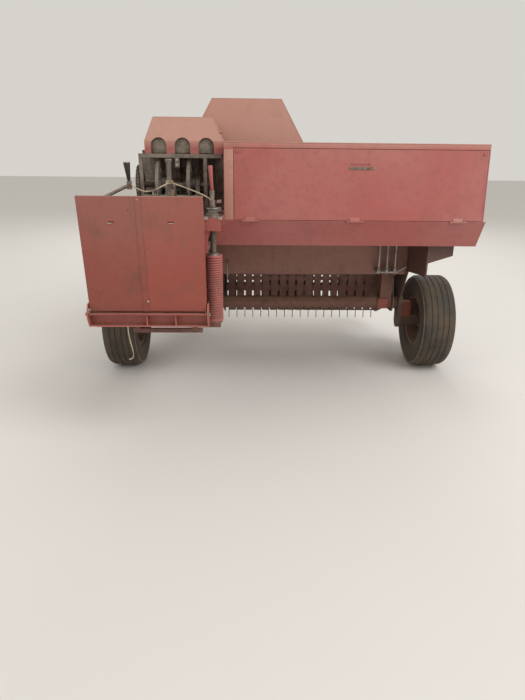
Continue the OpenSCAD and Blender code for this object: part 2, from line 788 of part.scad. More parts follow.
module hood_shell(x_base, x_top, y_base, y_top, z, t) {
    difference() {
        hood_form(x_base, x_top, y_base, y_top, z);
        hood_form([x_base[0] + t, x_base[1] - t], [x_top[0] + t, x_top[1] - t],
            [y_base[0] + t, y_base[1] - t], [y_top[0] + t, y_top[1] - t],
            [z[0] - 1, z[1], z[2] - t]);
    }
}

module knotter_hood() {
    arches = [-91, 68, 227];
    arch_r = 52;
    arch_z = hood_z[0] + 50;
    color("firebrick") difference() {
        union() {
            hood_shell(hood_x, hood_top_x, hood_y, hood_top_y, hood_z, hood_t);
            for (k = hood_knuckles) {
                bar_y(hood_hinge[0], k, hood_hinge[1], hood_pin_r + 6);
                block([hood_hinge[0], hood_x[0] + 1], k, [hood_hinge[1] - 4, hood_hinge[1] + 4]);
            }
        }
        for (x = arches) {
            bar_y(x, [hood_y[0] - 1, hood_y[0] + 6 * hood_t], arch_z, arch_r);
            block([x - arch_r, x + arch_r], [hood_y[0] - 1, hood_y[0] + 6 * hood_t],
                [hood_z[0] - 1, arch_z]);
        }
        for (k = hood_knuckles)
            bar_y(hood_hinge[0], [k[0] - 1, k[1] + 1], hood_hinge[1], hood_pin_r + run_gap);
    }
}

// Rails and posts on the chamber's roof that the hood rests on, its hinge pins on the left, and the
// shield plate in front of the knotters
module hood_frame() {
    y = hood_post_y;
    z = [hood_z[0] - 26, hood_z[0] - seat_gap];
    x_end = hood_x[1] - 8;
    shield_y = [y[1] - 25, y[1] - 19];
    shield_z = feed_roof_z + 90;
    shield_ribs = [-150, -20, 120, 262];
    color("darkred") {
        for (s = [-1, 1]) {
            block(s > 0 ? hood_rail_x : [-hood_rail_x[1], -hood_rail_x[0]], y, z);
            x = s > 0 ? [hood_rail_x[1] - hood_post_w, hood_rail_x[1]]
                : [-hood_rail_x[1], -hood_rail_x[1] + hood_post_w];
            for (p = [y[0], y[1] - 25]) block(x, [p, p + 25], [roof_z + plate, z[0]]);
        }
        for (p = [y[0], y[1] - 25]) block([-hood_rail_x[0], x_end], [p, p + 25], z);
        plate_y(shield_y, [[-310, shield_z], [-310, shield_z + 100], [-254, z[0]], [x_end, z[0]],
            [x_end, shield_z]]);
        for (x = shield_ribs) block([x, x + 20], [shield_y[0] - 16, shield_y[0]], [shield_z, z[0]]);
        for (k = hood_knuckles) {
            bar_y(hood_hinge[0], [k[0] - 20, k[1] + 20], hood_hinge[1], hood_pin_r);
            for (p = [k[0] - 20, k[1] + 5]) {
                bar_y(hood_hinge[0], [p, p + 15], hood_hinge[1], hood_pin_r + 5);
                block([hood_hinge[0] - 8, hood_hinge[0] + 4], [p, p + 15], [z[0], hood_hinge[1]]);
            }
        }
    }
}

module feeder_cover() {
    x = cover_mid_x;
    color("firebrick") {
        hood_shell([x - cover_base, x + cover_base], [x - cover_top, x + cover_top], cover_y,
            cover_top_y, cover_z, hood_t);
        for (y = [cover_y[0] + hood_t, cover_y[1] - hood_t - 16])
            block([x - cover_base + hood_t, x + cover_base - hood_t], [y, y + 16],
                [cover_z[0], cover_z[0] + 4]);
        block([x - cover_base + hood_t, x + cover_base - hood_t], [fork_y + 112, fork_y + 158],
            [cover_z[0] + 4, cover_z[0] + 10]);
    }
}

// Twine box

function box_outline(grow) = [
    [box_front_y - grow, box_z0 + grow],
    [door_y + trough_slant + grow, box_z0 + grow],
    [door_y + grow, door_z0],
    [door_y + door_lean * door_h / (door_h + box_rim) + grow, door_z1 + 0],
    [door_y + door_lean + grow, box_z1 - grow],
    [box_front_y - grow, box_z1 - grow]
];

module twine_box() {
    trough = [box_outline(0)[0], box_outline(0)[1], box_outline(0)[2], [box_front_y, door_z0]];
    hollow = box_outline(box_t);
    low_hollow = [hollow[0], hollow[1], hollow[2] - [0, box_t], [box_front_y - box_t, door_z0 - box_t]];
    x_low = [box_x0 - trough_left, box_x1 + 16];
    lug = 18;
    color("firebrick") difference() {
        union() {
            plate_x([box_x0, box_x1], box_outline(0));
            plate_x(x_low, trough);
            for (f = door_knuckles) {
                c = box_x0 + f * box_len;
                half = door_knuckle_len / 2 + 2;
                bar_x([c - half - lug, c + half + lug], door_hinge[0], door_hinge[1], door_pin_r);
                for (x = [c - half - lug, c + half]) {
                    bar_x([x, x + lug], door_hinge[0], door_hinge[1], door_pin_r + 3);
                    block([x, x + lug], [door_hinge[0], door_y + 12],
                        [door_hinge[1] - door_pin_r - 3, door_hinge[1] - 2]);
                }
            }
        }
        plate_x([box_x0 + box_t, box_x1 - box_t], hollow);
        plate_x([x_low[0] + box_t, box_x0 + box_t + 1], low_hollow);
        block([box_x0 + door_side, box_x1 - box_t], [door_y - 1, door_y + door_lean + door_t + 4],
            [door_z0 + 2, door_z1 + 3]);
    }
}

module twine_door() {
    lean = door_lean * door_h / (door_h + box_rim);
    x = [box_x0 + door_side + 2, box_x1 - box_t - 2];
    grip = box_x0 + 0.512 * box_len;
    knuckle_r = door_pin_r + 3;
    color("indianred") difference() {
        union() {
            for (f = door_knuckles) {
                c = box_x0 + f * box_len;
                k = [c - door_knuckle_len / 2, c + door_knuckle_len / 2];
                bar_x(k, door_hinge[0], door_hinge[1], knuckle_r);
                plate_x(k, [door_hinge + [-knuckle_r, 2], door_hinge + [2, knuckle_r],
                    [door_y + 2, door_z0 + 22], [door_y + 1, door_z0 + 8], door_hinge + [knuckle_r - 1, 0]]);
            }
            plate_x(x, [[door_y, door_z0 + 5], [door_y + lean, door_z1],
                [door_y + lean + door_t, door_z1], [door_y + door_t, door_z0 + 5]]);
            for (p = [x[0] + 12, x[1] - 52])
                plate_x([p, p + 40], [[door_y + lean - 3.5, door_z1 - latch_drop],
                    [door_y + lean - 3, door_z1 - 6], [door_y + lean + 4, door_z1 - 6],
                    [door_y + lean, door_z1 - latch_drop]]);
        }
        bar_x([x[0], x[1]], door_hinge[0], door_hinge[1], door_pin_r + run_gap);
        block([grip - 60, grip + 60], [door_y - 1, door_y + door_lean + door_t + 1],
            [door_z1 - 100, door_z1 - 84]);
        plate_x([x[0] + 18, x[1] - 18], [[door_y + 5, door_z0 + 28],
            [door_y + lean + 2, door_z1 - 130], [door_y + lean + door_t + 1, door_z1 - 130],
            [door_y + door_t + 1, door_z0 + 28]]);
    }
}

// Knotters

module knotter_shaft() {
    x = [1 - rib_x, rib_x - 30];
    wheel = [[18 - rib_x, 24, 118], [knotter_x[0], 22, 172], [knotter_x[1], 22, 172]];
    color("slategray") difference() {
        union() {
            bar_x(x, knotter_y, knotter_z, 20);
            for (w = wheel) bar_x([w[0] - w[1] / 2, w[0] + w[1] / 2], knotter_y, knotter_z, w[2]);
            for (w = [wheel[1], wheel[2]])
                bar_x([w[0] - 34, w[0] + 34], knotter_y, knotter_z, 48);
            for (a = [0 : 15 : 345])
                translate([wheel[0][0], knotter_y, knotter_z]) rotate([a, 0, 0])
                    translate([-5, -6, 112]) cube([10, 12, 14]);
        }
        for (w = [wheel[1], wheel[2]]) for (a = [20 : 60 : 320])
            translate([w[0] - 20, knotter_y, knotter_z]) rotate([a, 0, 0]) translate([0, 0, 108])
                rotate([0, 90, 0]) cylinder(h = 40, r = 26);
    }
}

// A casting beside each disc with its bill hook and twine disc, standing on the roof
module knotter_frames() {
    color("dimgray") for (x = knotter_x) {
        x0 = x + 38;
        block([x0 - 3, x0 + 47], [knotter_y - 150, knotter_y + 110],
            [roof_z + plate, roof_z + plate + 26]);
        difference() {
            extrude_x([x0, x0 + 30]) {
                link2d([knotter_y, knotter_z], [knotter_y + 60, roof_z + plate + 30], 52, 30);
                link2d([knotter_y, knotter_z], [knotter_y - 110, roof_z + plate + 40], 46, 26);
            }
            bar_x([x0 - 1, x0 + 31], knotter_y, knotter_z, 20 + run_gap);
        }
        rod([x0 + 15, knotter_y - 100, roof_z + 90], [x0 + 15, knotter_y - 185, roof_z + 62], 10);
        bar_x([x0 + 2, x0 + 44], knotter_y - 130, roof_z + 110, 30);
        rod([x0 + 15, knotter_y + 20, knotter_z + 40], [x0 + 15, knotter_y + 120, knotter_z + 96], 8);
    }
}

module needle_yoke() {
    p = needle_pivot;
    arm = [171, 215];
    bar = [p[0] + needle_r * cos(arm[1]), p[1] + needle_r * sin(arm[1])];
    arm_x = wall_out - floor_rail_w - 22;
    color("slategray") {
        bar_x([-arm_x, arm_x], p[0], p[1], 16);
        for (s = [-1, 1]) {
            extrude_x([s * arm_x - 8, s * arm_x + 8])
                link2d(p, bar, 30, 24);
        }
        bar_x([-arm_x, arm_x], bar[0], bar[1], 20);
        for (x = knotter_x)
            translate([x - needle_t / 2, p[0], p[1]]) rotate([90, 0, 90])
                rotate([0, 0, arm[0] + 1]) rotate_extrude(angle = arm[1] - arm[0] - 1)
                    translate([needle_r - 18, 0]) square([36, needle_t]);
        for (s = [-1, 1])
            block([s * arm_x - 20, s * arm_x + 20], [p[0] - 26, p[0] + 26], [p[1] + 8, floor_z - plate]);
    }
}

// Bale length meter on the roof

meter_y = -800;
meter_x = -80;
meter_z = roof_z + 112;
meter_pin_r = 10;

module meter_bracket() {
    post_x = 72;
    post_y = -1130;
    color("dimgray") {
        for (x = [-125, 0]) {
            block([x - 5, x + 5], [meter_y - 26, meter_y + 26], [roof_z + slat_h, meter_z]);
            bar_x([x - 5, x + 5], meter_y, meter_z, 26);
        }
        bar_x([-130, 30], meter_y, meter_z, meter_pin_r);
        rod([25, meter_y, meter_z], [25, meter_y + 190, meter_z + 150], 9);
        rod([25, meter_y + 190, meter_z + 150], [25, knotter_y - 215, meter_z + 60], 9);
        block([post_x - 12, post_x + 12], [post_y - 5, post_y + 5], [beam_z0, roof_z + 410]);
        block([post_x - 22, post_x + 22], [post_y - 22, post_y + 22], [beam_z0, beam_z0 + 10]);
        block([post_x - 18, post_x + 18], [post_y - 8, post_y + 8], [roof_z + 410, roof_z + 420]);
    }
}

module meter_wheel() {
    r = 96;
    teeth = 12;
    color("slategray") translate([meter_x, meter_y, meter_z]) rotate([90, 0, 90]) difference() {
        union() {
            translate([0, 0, -6]) cylinder(h = 12, r = r);
            translate([0, 0, -28]) cylinder(h = 56, r = 24);
            for (a = [0 : 360 / teeth : 359])
                rotate([0, 0, a]) translate([0, 0, -6]) linear_extrude(12)
                    polygon([[r - 6, -13], [r + 26, 0], [r - 6, 13]]);
        }
        translate([0, 0, -29]) cylinder(h = 58, r = meter_pin_r + run_gap);
        for (a = [0 : 60 : 300]) rotate([0, 0, a]) translate([58, 0, -7]) cylinder(h = 14, r = 16);
    }
}

// Front of the machine

module front_frame() {
    bx = wall_out - front_beam_w / 2 - 18;
    beam_y0 = chamber_front - 600;
    ear_r = 60;
    post_len = 100;
    beam_y1 = pivot_y - ear_r - 30;
    color("darkred") {
        block([-wall_out, wall_out], [chamber_front, bulkhead_y], [rail_z, roof_z + 120]);
        for (s = [-1, 1]) {
            block([s * bx - front_beam_w / 2, s * bx + front_beam_w / 2], [beam_y0, beam_y1], front_z);
            for (y = [beam_y0, bulkhead_y - post_len])
                block([s * bx - front_beam_w / 2, s * bx + front_beam_w / 2], [y, y + post_len],
                    [front_z[1], rail_z]);
        }
        block([-bx - front_beam_w / 2, bx + front_beam_w / 2], [beam_y1, beam_y1 + 20], front_z);
        for (z = [front_z[0], front_z[1] - ear_t]) translate([0, 0, z]) linear_extrude(ear_t) {
            translate([0, pivot_y]) circle(ear_r);
            polygon([[-bx + 20, beam_y1 + 20], [-ear_r, pivot_y], [ear_r, pivot_y],
                [bx - 20, beam_y1 + 20]]);
        }
        bar_z(0, pivot_y, [front_z[0] - 14, front_z[1] + 14], pivot_r);
        bar_z(0, pivot_y, [front_z[1], front_z[1] + 14], pivot_r + 12);
        bar_z(0, pivot_y, [front_z[0] - 14, front_z[0]], pivot_r + 12);
    }
}

module gearbox() {
    y = [bulkhead_y, gearbox_y1];
    color("dimgray") difference() {
        union() {
            block([-150, 150], [y[0], y[0] + 24], [shaft_z - 170, shaft_z + 190]);
            block([-105, 105], [y[0] + 24, y[1]], [shaft_z - 120, shaft_z + 130]);
            bar_x([-150, 150], (y[0] + y[1]) / 2 + 10, shaft_z, 92);
            bar_y(0, [y[1] - 30, y[1] + neck_len], shaft_z, 74);
            for (z = [-60, 0, 60])
                block([-128, 128], [y[0] + 24, y[1] - 30], [shaft_z + z - 5, shaft_z + z + 5]);
            bar_z(0, (y[0] + y[1]) / 2 + 10, [shaft_z + 130, shaft_z + 160], 60);
        }
        bar_y(0, [y[1] - 100, y[1] + neck_len + 1], shaft_z, main_shaft_r + run_gap);
    }
}

module flywheel() {
    rim_in = flywheel_r - 62;
    color("darkred") difference() {
        union() {
            bar_y(0, [flywheel_y0, flywheel_y1], shaft_z, flywheel_r);
            bar_y(0, [flywheel_y0 - 10, flywheel_y1 + 24], shaft_z, 66);
            bar_y(0, [gearbox_y1 - 60, flywheel_y0], shaft_z, main_shaft_r);
            bar_y(0, [flywheel_y1, input_shaft_y1], shaft_z, input_shaft_r);
        }
        difference() {
            for (y = [[flywheel_y0 - 1, flywheel_y0 + 24], [flywheel_y1 - 24, flywheel_y1 + 1]])
                bar_y(0, y, shaft_z, rim_in);
            bar_y(0, [flywheel_y0 - 20, flywheel_y1 + 30], shaft_z, 66);
        }
        for (a = [0 : 60 : 300]) translate([0, flywheel_y0 - 1, shaft_z]) rotate([0, a, 0])
            translate([(rim_in + 66) / 2 + 6, 0, 0]) rotate([-90, 0, 0]) cylinder(h = flywheel_w + 2, r = 42);
    }
}

module flywheel_guard() {
    r = flywheel_r + 35;
    y = [flywheel_y0 - 40, flywheel_y1 + 12];
    t = 5;
    color("firebrick") {
        translate([0, y[1], shaft_z]) rotate([90, 0, 0]) linear_extrude(y[1] - y[0]) difference() {
            union() {
                circle(r + t, $fn = 72);
                translate([-r - t, -160]) square([2 * (r + t), 160]);
            }
            circle(r, $fn = 72);
            translate([-r, -r - 40]) square([2 * r, r + 40]);
            translate([-r - t - 1, -r - 60]) square([2 * (r + t + 1), r - 100]);
        }
        translate([0, y[0] + t, shaft_z]) rotate([90, 0, 0]) linear_extrude(t) difference() {
            circle(r + 1, $fn = 72);
            circle(74 + seat_gap);
            translate([-r - 2, -r - 2]) square([2 * r + 4, r - 158]);
        }
        for (s = [-1, 1]) block([s * 170 - 12, s * 170 + 12], [bulkhead_y, y[0]],
            [roof_z + 40, roof_z + 64]);
    }
}

// Shaft in its tube along the chamber's left top edge, from the gearbox to the knotters
module knotter_drive() {
    x = -rib_x - 36;
    z = roof_z + 60;
    color("firebrick") {
        bar_y(x, [knotter_y + 120, chamber_front - 60], z, 30);
        for (y = [100, 700, chamber_front - 120])
            block([x - 20, -wall_out], [y, y + 40], [roof_z, roof_z + 34]);
        block([x - 70, x + 50], [knotter_y - 60, knotter_y + 120], [z - 46, z + 44]);
        block([-rib_x, -wall_out], [knotter_y - 60, knotter_y + 120], [roof_z, z - 46]);
    }
}

// Adjusting rods of the pick-up lift under the twine box
module lift_rods() {
    y = feed_wall_y - 56;
    x = feed_x1 - 168;
    z = [floor_z - 22, box_z0];
    color("silver") {
        for (dx = [-62, 0, 62]) {
            bar_z(x + dx, y, [z[0] - 10, z[1]], 8);
            bar_z(x + dx, y, [z[0] + 8, z[0] + 24], 15);
        }
        block([x - 84, x + 84], [y - 16, y + 26], [z[0], z[0] + 8]);
        for (dx = [-84, 60])
            block([x + dx, x + dx + 24], [y + 25, feed_wall_y], [z[0], floor_z - plate]);
        rod([x + 80, y + 4, z[0] + 4], [x + 150, y + 4, z[0] + 42], 7);
    }
}

// Drawbar

module drawbar() {
    head_r = 56;
    x = drawbar_w / 2;
    eye = drawbar_len;
    z = drawbar_z;
    mid = (z[0] + z[1]) / 2;
    color("darkred") on_drawbar() difference() {
        union() {
            bar_z(0, 0, z, head_r);
            block([-x, x], [10, eye - 190], z);
            plate_x([-x, x], [[eye - 190, z[0]], [eye - 190, z[1]], [eye - 110, mid + 15],
                [eye - 110, mid - 15]]);
            block([-40, 40], [eye - 120, eye], [mid - hitch_t / 2, mid + hitch_t / 2]);
            bar_z(0, eye, [mid - hitch_t / 2, mid + hitch_t / 2], hitch_nose);
            block([-x - 40, -x], [jack_at - 60, jack_at + 60], [z[0] + 4, z[1] - 4]);
            block([-8, 8], [eye - hook_back - 15, eye - hook_back + 15], [z[1], z[1] + hook_h]);
        }
        bar_z(0, 0, [z[0] - 1, z[1] + 1], pivot_r + run_gap);
        bar_z(0, eye, [z[0] - 1, z[1] + 1], hitch_r);
        bar_z(-jack_side, jack_at, [z[0] - 1, z[1] + 1], jack_r + jack_wall + seat_gap);
    }
}

// Guarded driveline resting on its hook
module driveline() {
    hook = [drawbar_len - hook_back, drawbar_z[1] + hook_h];
    a = [0, 62, shaft_z - 8];
    rest_z = hook[1] + cradle;
    slope = (rest_z - a[2]) / (hook[0] - a[1]);
    b = [0, hook[0] + 150, rest_z + slope * 150];
    dir = (b - a) / norm(b - a);
    bell_r = 82;
    color("gold") on_drawbar() difference() {
        union() {
            rod(a - dir * 3, b, 42);
            rod(a - dir * 92, a, bell_r);
            rod(b - dir * 3, b + dir * 70, 62);
            rod(b - dir * 3, b + dir * 190, 30);
        }
        rod(a - dir * 93, a - dir * 6, bell_r - 6);
        rod(b + dir * 110, b + dir * 191, input_shaft_r);
    }
    color("dimgray") on_drawbar()
        difference() {
            block([-52, 52], [hook[0] - 15, hook[0] + 15], [hook[1], hook[1] + 30]);
            rod(a, b, 42 + seat_gap);
        }
}

module jack_tube() {
    z = jack_tube_z;
    color("darkred") on_drawbar() translate([-jack_side, jack_at, 0]) {
        difference() {
            union() {
                bar_z(0, 0, z, jack_r + jack_wall);
                bar_z(0, 0, [z[1], z[1] + 12], jack_r + jack_wall + 6);
            }
            bar_z(0, 0, [z[0] - 1, z[1] - 30], jack_r + run_gap);
        }
        bar_x([-140, 0], 0, z[1] + 28, 8);
        bar_z(0, 0, [z[1] + 12, z[1] + 38], 12);
        bar_z(-140, 0, [z[1] + 16, z[1] + 110], 11);
    }
}

module jack_leg() {
    color("silver") on_drawbar() translate([-jack_side, jack_at, 0]) {
        bar_z(0, 0, [jack_foot_t, jack_tube_z[0] + 260], jack_r);
        bar_z(0, 0, [0, jack_foot_t], jack_foot_r);
        bar_z(0, 0, [jack_foot_t, jack_foot_t + 30], jack_r + 10);
    }
}

// Pick-up

// Side plates with their arms back to the axle tube
module pickup_sides() {
    arm_r = axle_r + 26;
    color("firebrick") for (x = [pickup_x0, pickup_x1]) difference() {
        extrude_x([x, x + pickup_t]) difference() {
            union() {
                translate([reel_y, reel_z]) circle(band_r + 14);
                polygon([[reel_y + 40, reel_z + band_r + 8], [band_rear - 22, band_top_z + 4],
                    [band_rear - 22, band_top_z - 80], [band_rear - 60, band_top_z - 125],
                    [band_rear - 60, reel_z - 90],
                    [reel_y - 60, reel_z - band_r - 8], [reel_y, reel_z]]);
                link2d([0, axle_z], [band_rear + 20, axle_z + 20], arm_r, 110);
            }
            translate([0, axle_z]) circle(axle_r + seat_gap);
            translate([reel_y, reel_z]) circle(journal_r + run_gap);
        }
    }
}

// Outline of one stripper band: round at the front, straight back to the feed floor
module band_outline(r, rear, top) {
    c = [reel_y, reel_z];
    corner = [rear, top];
    low = [rear, reel_z - r + 75];
    at = acos(r / norm(corner - c)) - (180 - atan2(corner[1] - c[1], corner[0] - c[0]));
    a_top = atan2(corner[1] - c[1], corner[0] - c[0]) - acos(r / norm(corner - c));
    a_low = atan2(low[1] - c[1], low[0] - c[0]) + acos(r / norm(low - c));
    translate(c) circle(r, $fn = 64);
    polygon([c, c + r * [cos(a_top), sin(a_top)], corner, low, c + r * [cos(a_low), sin(a_low)]]);
}

module pickup_bands() {
    w = tine_pitch - band_slot;
    rear_bar = [band_rear - 36, band_rear];
    color("firebrick") {
        for (i = [0 : tine_count - 2]) {
            x = tine_x0 + i * tine_pitch + band_slot / 2;
            extrude_x([x, x + w]) difference() {
                band_outline(band_r, band_rear, band_top_z);
                band_outline(band_r - band_t, band_rear + band_t, band_top_z - band_t * 1.3);
            }
        }
        for (z = [axle_z + 180, axle_z - 100])
            block([pickup_x0 + pickup_t, pickup_x1], rear_bar, [z, z + 36]);
    }
}

// Reel: shaft, spiders, tine bars and the spring tines
module pickup_reel() {
    x = [pickup_x0 + pickup_t + 4, pickup_x1 - 4];
    spiders = [x[0], (x[0] + x[1]) / 2 - 4 + tine_pitch / 2, x[1] - 8];
    tine_x = [for (i = [0 : tine_count - 1]) tine_x0 + i * tine_pitch];
    color("dimgray") translate([0, reel_y, reel_z]) {
        bar_x([pickup_x0 - 6, pickup_x1 + pickup_t + 6], 0, 0, journal_r);
        bar_x(x, 0, 0, 32);
        for (s = spiders) bar_x([s, s + 8], 0, 0, bar_r + 16);
        for (b = [0 : bar_count - 1]) rotate([b * 360 / bar_count + reel_park, 0, 0]) {
            block(x, [-bar_w / 2, bar_w / 2], [bar_r - bar_w / 2, bar_r + bar_w / 2]);
            for (t = tine_x) {
                bar_x([t - 12, t + 12], -bar_w / 2 - 8, bar_r + 4, 14);
                translate([t, -bar_w / 2 - 8, bar_r]) rotate([2, 0, 0])
                    cylinder(h = sqrt(tine_tip_r * tine_tip_r - 400) - bar_r - 1, r = tine_d / 2, $fn = 16);
            }
        }
    }
}

module pickup_drive_cover() {
    x = [pickup_x1 + pickup_t, pickup_x1 + pickup_t + 30];
    color("firebrick") difference() {
        extrude_x(x) link2d([reel_y, reel_z], [reel_y - 190, reel_z + 270], 110, 62);
        extrude_x([x[0] - 1, x[1] - 4]) link2d([reel_y, reel_z], [reel_y - 190, reel_z + 270], 104, 56);
    }
    color("dimgray") bar_x([x[0], x[1] - 4 - seat_gap], reel_y - 190, reel_z + 270, 40);
}

module gauge_arm() {
    x = pickup_x1 + pickup_t;
    pin = [gauge_y, gauge_z];
    root = [reel_y + 150, reel_z + 40];
    post_x = side_out + 24;
    color("darkred") {
        bar_x([x, post_x], root[0], root[1], 22);
        extrude_x([post_x - 12, post_x]) link2d(root, pin, 34, 24);
        bar_x([post_x, gauge_x + gauge_w / 2 + 8], pin[0], pin[1], gauge_pin_r);
        bar_x([gauge_x + gauge_w / 2 + 8, gauge_x + gauge_w / 2 + 20], pin[0], pin[1], gauge_pin_r + 8);
        bar_x([post_x, gauge_x - gauge_w / 2 - 3], pin[0], pin[1], gauge_pin_r + 10);
    }
}

module gauge_wheel() {
    w = gauge_w / 2;
    color("black") translate([gauge_x, gauge_y, gauge_z]) rotate([0, 90, 0]) rotate_extrude($fn = 64)
        union() {
            translate([gauge_pin_r + run_gap, -w]) square([26, gauge_w]);
            translate([gauge_pin_r + 20, -4]) square([gauge_r - 84, 8]);
            difference() {
                union() {
                    translate([gauge_r - 60, -w + 14]) square([60, gauge_w - 28]);
                    translate([gauge_r - 60, -w]) square([46, gauge_w]);
                    for (s = [-1, 1]) translate([gauge_r - 14, s * (w - 14)]) circle(14);
                }
                translate([gauge_r - 61, -w + 26]) square([12, w - 31]);
                translate([gauge_r - 61, 5]) square([12, w - 31]);
            }
        }
}

// Crop guard over the pick-up: a tube on the feed roof's front edge with curved rods
guard_y = feed_mouth + 46;
guard_z = feed_roof_z - 20;
guard_rods = 10;
// How far each bend of a rod lies forward of and below the tube
guard_bends = [[0, 0], [210, 120], [400, 300], [520, 330]];

module windguard() {
    x = [pickup_x0 + 40, pickup_x1 - 40];
    step = (x[1] - x[0] - 60) / (guard_rods - 1);
    path = [for (p = guard_bends) [guard_y + p[0], guard_z - p[1]]];
    color("darkred") difference() {
        union() {
            bar_x(x, guard_y, guard_z, 18);
            for (i = [0 : guard_rods - 1]) {
                px = x[0] + 30 + i * step;
                for (k = [0 : 2]) {
                    rod([px, path[k][0], path[k][1]], [px, path[k + 1][0], path[k + 1][1]], 6);
                    translate([px, path[k + 1][0], path[k + 1][1]]) sphere(7.5);
                }
            }
        }
        bar_x([x[0] - 1, x[0] + 24], guard_y, guard_z, 10 + run_gap);
        bar_x([x[1] - 24, x[1] + 1], guard_y, guard_z, 10 + run_gap);
    }
}

// Cords: points chosen by hand in the axle frame

rope_d = 8;
tail_d = 6;
rope_route = [[-121.9, -1220.7, 1500], [-113.3, -1225.8, 1497], [-97, -1222, 1485],
    [-75, -1212, 1473], [-51, -1200, 1466], [-18, -1190, 1469], [8, -1176, 1479], [30, -1160, 1490],
    [52, -1145, 1502], [72, -1139.3, 1510], [95, -1143, 1507], [125, -1155, 1498], [162, -1170, 1487],
    [200, -1190, 1475], [236, -1208, 1463], [270, -1229, 1450], [290, -1240, 1440.5],
    [300.5, -1244.6, 1433.4], [308.7, -1245, 1427.2]];
tail_route = [[-150, -1441, 765.7], [-150, -1441, 750], [-149, -1441, 725], [-146, -1440, 698],
    [-142, -1438, 670], [-137, -1437, 642], [-133, -1436, 615], [-133, -1436, 594],
    [-138, -1436, 580], [-148, -1437, 573], [-158, -1438, 572]];

// A smooth curve through the points, and its heading
function route_point(route, t) =
    let (n = len(route) - 1, i = min(floor(t * n), n - 1), u = t * n - i,
        p0 = route[max(i - 1, 0)], p1 = route[i], p2 = route[i + 1], p3 = route[min(i + 2, n)])
    0.5 * (2 * p1 + (p2 - p0) * u + (2 * p0 - 5 * p1 + 4 * p2 - p3) * u * u
        + (3 * p1 - p0 - 3 * p2 + p3) * u * u * u);
function route_heading(route, t) =
    let (d = route_point(route, min(t + 0.004, 1)) - route_point(route, max(t - 0.004, 0)))
    d / norm(d);
function ring_side(heading) = let (c = cross(heading, [0.12, 0.9, 0.42])) c / norm(c);

module cord(route, d, rings) {
    sides = 8;
    points = [for (i = [0 : rings - 1])
        let (t = i / (rings - 1), c = route_point(route, t), h = route_heading(route, t),
            u = ring_side(h), v = cross(h, u))
        for (k = [0 : sides - 1])
            c + d / 2 * (cos(k * 360 / sides) * u + sin(k * 360 / sides) * v)];
    faces = concat(
        [[for (k = [0 : sides - 1]) k]],
        [for (i = [0 : rings - 2]) for (k = [0 : sides - 1])
            [i * sides + k, (i + 1) * sides + k, (i + 1) * sides + (k + 1) % sides,
                i * sides + (k + 1) % sides]],
        [[for (k = [sides - 1 : -1 : 0]) (rings - 1) * sides + k]]);
    polyhedron(points = points, faces = faces, convexity = 6);
}

module tie_rope() { color("wheat") cord(rope_route, rope_d, 34); }

module twine_tail() { color("wheat") cord(tail_route, tail_d, 20); }

in_row_frame() chamber_floor();
in_row_frame() chamber_left_wall();
in_row_frame() chamber_right_wall();
in_row_frame() chamber_roof();
in_row_frame() tension_flap();
in_row_frame() tension_springs();
in_row_frame() tension_cranks();
in_row_frame() spring_anchors();
in_row_frame() chute_sill();
in_row_frame() plunger_cover();
in_row_frame() axle_beam();
in_row_frame() left_knuckle();
in_row_frame() right_knuckle();
in_row_frame() feed_floor();
in_row_frame() feed_back_wall();
in_row_frame() feed_side_plate();
in_row_frame() feed_roof();
in_row_frame() feeder_forks();
in_row_frame() feeder_gear();
in_row_frame() feeder_cover();
in_row_frame() twine_box();
in_row_frame() knotter_shaft();
in_row_frame() knotter_frames();
in_row_frame() hood_frame();
in_row_frame() needle_yoke();
in_row_frame() meter_bracket();
in_row_frame() front_frame();
in_row_frame() gearbox();
in_row_frame() flywheel_guard();
in_row_frame() knotter_drive();
in_row_frame() lift_rods();
in_row_frame() tie_rope();
in_row_frame() twine_tail();
in_row_frame() left_tyre();
in_row_frame() left_rim();
in_row_frame() right_tyre();
in_row_frame() right_rim();
in_row_frame() bale_chute();
in_row_frame() twine_door();
in_row_frame() knotter_hood();
in_row_frame() meter_wheel();
in_row_frame() flywheel();
in_row_frame() drawbar();
in_row_frame() driveline();
in_row_frame() jack_tube();
in_row_frame() jack_leg();
in_row_frame() pickup_sides();
in_row_frame() pickup_bands();
in_row_frame() pickup_drive_cover();
in_row_frame() gauge_arm();
in_row_frame() pickup_reel();
in_row_frame() gauge_wheel();
in_row_frame() windguard();
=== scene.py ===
"""Dresses the square baler round its frame: finishes, springs, tyres, fasteners, cords and the studio."""

import math
from itertools import product

import bmesh
import bpy
from bpy.props import FloatProperty, FloatVectorProperty, IntProperty, PointerProperty
from bpy.types import Operator, Panel, PropertyGroup
from mathutils import Matrix, Vector


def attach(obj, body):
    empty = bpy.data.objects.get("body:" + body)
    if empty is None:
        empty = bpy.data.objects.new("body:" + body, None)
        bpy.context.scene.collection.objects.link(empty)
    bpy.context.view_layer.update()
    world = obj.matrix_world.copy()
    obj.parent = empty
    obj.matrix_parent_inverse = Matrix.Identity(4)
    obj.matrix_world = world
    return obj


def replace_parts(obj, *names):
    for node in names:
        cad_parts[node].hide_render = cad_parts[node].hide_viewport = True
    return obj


bl_info = {
    "name": "Square baler",
    "version": (1, 0, 0),
    "blender": (4, 5, 0),
    "location": "View3D > Sidebar > Baler",
    "description": "Builds the finishes and fittings of a square baler",
    "category": "Object",
}

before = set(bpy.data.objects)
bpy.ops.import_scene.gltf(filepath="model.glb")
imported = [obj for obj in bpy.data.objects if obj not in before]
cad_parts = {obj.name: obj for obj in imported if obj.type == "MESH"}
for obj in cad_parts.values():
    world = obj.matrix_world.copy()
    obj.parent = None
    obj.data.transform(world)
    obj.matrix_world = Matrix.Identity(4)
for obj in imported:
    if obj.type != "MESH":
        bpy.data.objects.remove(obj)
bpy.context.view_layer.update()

move = Matrix.Translation


def turn(angle, axis):
    """A turn about one axis, by an angle in radians."""
    return Matrix.Rotation(angle, 4, axis)


